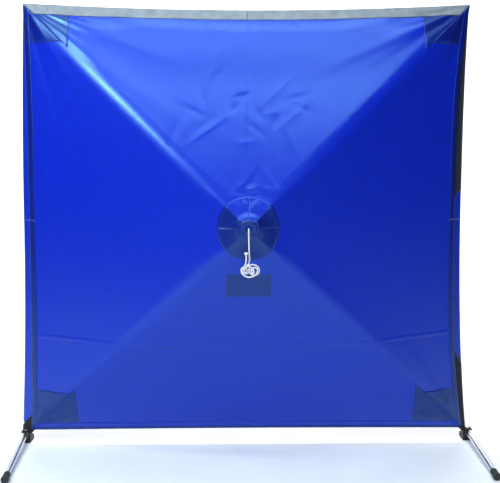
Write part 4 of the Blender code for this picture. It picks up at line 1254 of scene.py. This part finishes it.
def legs():
    """Drawn aluminium legs with ribbed rubber tips."""
    inner, outer, back = LEG_RADIUS - LEG_WALL, LEG_RADIUS, LEG_BEHIND
    lip = 0.0003
    tube = hollow("leg_model", [(outer - lip, -back), (outer, -back + lip), (outer, LEG_LENGTH - lip),
                                (outer - lip, LEG_LENGTH), (inner + lip, LEG_LENGTH),
                                (inner, LEG_LENGTH - lip), (inner, -back + lip), (inner + lip, -back)], 40)
    mouth, grip, flare = LEG_LENGTH - TIP_GRIP, outer + 0.0033, TIP_FLARE
    floor, end = LEG_LENGTH + 0.0003, LEG_LENGTH + TIP_END
    profile = [(outer + 0.0003, floor - 0.001), (outer + 0.0003, mouth + 0.0006), (outer + 0.0009, mouth),
               (grip - 0.001, mouth), (grip, mouth + 0.001)]
    for i in range(4):
        z = mouth + 0.005 + i * 0.006
        profile += [(grip, z), (grip - 0.0008, z + 0.0008), (grip - 0.0008, z + 0.0022), (grip, z + 0.003)]
    profile += [(grip, floor - 0.004), (grip + 0.0006, floor - 0.001), (flare - 0.0016, end - 0.0085),
                (flare - 0.0003, end - 0.0062), (flare, end - 0.0040), (flare - 0.0002, end - 0.0016),
                (flare - 0.0012, end - 0.0003), (flare - 0.0022, end), (0.0001, end)]
    tip = turned("leg_tip_model", profile, 40)
    for side in SIDES:
        at = leg_axes(side) @ ALONG_X
        for model, name, slot, node in ((tube, "leg_tube_drawn_", "aluminium_tube", "leg_tube_"),
                                        (tip, "leg_tip_rubber_", "rubber_black", "leg_tip_")):
            piece = copy_of(model, name + side)
            settle(piece, at, finish_of(slot))
            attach(piece, "leg_" + side)
            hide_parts(node + side)
    bpy.data.objects.remove(tube)
    bpy.data.objects.remove(tip)


# ---------------------------------------------------------------- add-on

class ScreenStage(bpy.types.PropertyGroup):
    """Camera and light of the studio."""
    lens: FloatProperty(name="Lens", description="Focal length in millimetres", default=51.12, min=10)
    shift: FloatProperty(name="Shift", description="Vertical shift of the camera", default=-0.076)
    camera_side: FloatProperty(name="Camera side", description="Camera to the right of the middle",
                               default=-0.037, unit="LENGTH")
    camera_distance: FloatProperty(name="Camera distance", description="Camera in front of the corners",
                                   default=3.227, unit="LENGTH")
    camera_height: FloatProperty(name="Camera height", description="Camera above the floor",
                                 default=1.320, unit="LENGTH")
    camera_tilt: FloatProperty(name="Tilt", description="Downward tilt of the camera",
                               default=math.radians(3.73), subtype="ANGLE")
    camera_turn: FloatProperty(name="Turn", description="Turn of the camera to the right",
                               default=math.radians(0.85), subtype="ANGLE")
    ambient: FloatProperty(name="Ambient", description="Strength of the even light", default=0.05, min=0)
    key_power: FloatProperty(name="Overhead light", description="Power of the overhead softbox", default=52.0,
                             unit="POWER")
    top_power: FloatProperty(name="Top light", description="Power of the strip above", default=60.0,
                             unit="POWER")
    front_power: FloatProperty(name="Front light", description="Power of the front softbox", default=50.0,
                               unit="POWER")
    side_power: FloatProperty(name="Side light", description="Power of the left softbox", default=90.0,
                              unit="POWER")
    fore_power: FloatProperty(name="Foreground light", description="Power of the light on the floor in front",
                              default=8.0, unit="POWER")
    floor_power: FloatProperty(name="Floor light", description="Power of the floor's light", default=90.0,
                               unit="POWER")
    backdrop_power: FloatProperty(name="Backdrop light", description="Power of the backdrop's light",
                                  default=420.0, unit="POWER")


class ScreenCord(bpy.types.PropertyGroup):
    """Pull cord."""
    turns: IntProperty(name="Turns", description="Turns of cord in the hank", default=5, min=2, max=8)
    strand_lay: FloatProperty(name="Strand lay", description="Length of one turn of a strand", default=0.012,
                              min=0.004, unit="LENGTH")


class ScreenCloth(bpy.types.PropertyGroup):
    """Cloth and its sewing."""
    deep_tone: FloatVectorProperty(name="Deep tone", description="The cloth's deep tone", subtype="COLOR",
                                   size=4, default=linear("071FA8"), min=0, max=1)
    light_tone: FloatVectorProperty(name="Light tone", description="The cloth's light tone", subtype="COLOR",
                                    size=4, default=linear("0822B2"), min=0, max=1)
    patch_radius: FloatProperty(name="Hub patch", description="Radius of the round patch at the hub",
                                default=0.132, min=0.08, unit="LENGTH")
    stitch: FloatProperty(name="Stitch", description="Length from one stitch to the next", default=0.0048,
                          min=0.002, unit="LENGTH")


class SCREEN_OT_studio(bpy.types.Operator):
    """Makes the floor, the lights and the camera"""
    bl_idname = "screen.studio"
    bl_label = "Studio"

    def execute(self, context):
        studio()
        return {"FINISHED"}


class SCREEN_OT_pull_cord(bpy.types.Operator):
    """Makes the braided cord, its hank and its knots"""
    bl_idname = "screen.pull_cord"
    bl_label = "Pull cord"

    def execute(self, context):
        pull_cord()
        return {"FINISHED"}


class SCREEN_OT_cloth(bpy.types.Operator):
    """Makes the panel with its patches, tape, hem and seams"""
    bl_idname = "screen.cloth"
    bl_label = "Cloth"

    def execute(self, context):
        cloth()
        return {"FINISHED"}


class SCREEN_OT_side_flaps(bpy.types.Operator):
    """Makes the joining flaps and their hook tapes"""
    bl_idname = "screen.side_flaps"
    bl_label = "Side flaps"

    def execute(self, context):
        side_flaps()
        return {"FINISHED"}


class SCREEN_OT_rods(bpy.types.Operator):
    """Makes the four fibreglass rods"""
    bl_idname = "screen.rods"
    bl_label = "Rods"

    def execute(self, context):
        rods()
        return {"FINISHED"}


class SCREEN_OT_tip_caps(bpy.types.Operator):
    """Makes the caps on the rod tips"""
    bl_idname = "screen.tip_caps"
    bl_label = "Tip caps"

    def execute(self, context):
        tip_caps()
        return {"FINISHED"}


class SCREEN_OT_corner_pockets(bpy.types.Operator):
    """Makes the webbing sleeves behind the corners"""
    bl_idname = "screen.corner_pockets"
    bl_label = "Corner pockets"

    def execute(self, context):
        corner_pockets()
        return {"FINISHED"}


class SCREEN_OT_hub(bpy.types.Operator):
    """Finishes the hub and its hinges"""
    bl_idname = "screen.hub"
    bl_label = "Hub"

    def execute(self, context):
        hub_fittings()
        return {"FINISHED"}


class SCREEN_OT_feet(bpy.types.Operator):
    """Finishes the foot brackets and their bolts"""
    bl_idname = "screen.feet"
    bl_label = "Feet"

    def execute(self, context):
        feet()
        return {"FINISHED"}


class SCREEN_OT_legs(bpy.types.Operator):
    """Makes the front legs and their rubber tips"""
    bl_idname = "screen.legs"
    bl_label = "Legs"

    def execute(self, context):
        legs()
        return {"FINISHED"}


OPERATORS = (SCREEN_OT_studio, SCREEN_OT_pull_cord, SCREEN_OT_cloth,
             SCREEN_OT_side_flaps, SCREEN_OT_rods, SCREEN_OT_tip_caps,
             SCREEN_OT_corner_pockets, SCREEN_OT_hub, SCREEN_OT_feet,
             SCREEN_OT_legs)


class SCREEN_PT_panel(bpy.types.Panel):
    """Builds the screen's pieces."""
    bl_label = "Welding screen"
    bl_idname = "SCREEN_PT_panel"
    bl_space_type = "VIEW_3D"
    bl_region_type = "UI"
    bl_category = "Screen"

    def draw(self, context):
        for settings in (context.scene.screen_stage, context.scene.screen_cord, context.scene.screen_cloth):
            for name in settings.bl_rna.properties.keys():
                if name not in {"rna_type", "name"}:
                    self.layout.prop(settings, name)
        for each in OPERATORS:
            self.layout.operator(each.bl_idname)


GROUPS = {"screen_stage": ScreenStage, "screen_cord": ScreenCord, "screen_cloth": ScreenCloth}


def register():
    for each in (*GROUPS.values(), *OPERATORS, SCREEN_PT_panel):
        bpy.utils.register_class(each)
    for name, group in GROUPS.items():
        setattr(bpy.types.Scene, name, PointerProperty(type=group))


def unregister():
    for name in GROUPS:
        delattr(bpy.types.Scene, name)
    for each in reversed((*GROUPS.values(), *OPERATORS, SCREEN_PT_panel)):
        bpy.utils.unregister_class(each)


def main():
    register()
    for each in OPERATORS:
        getattr(bpy.ops.screen, each.bl_idname.removeprefix("screen."))()


if __name__ == "__main__":
    main()
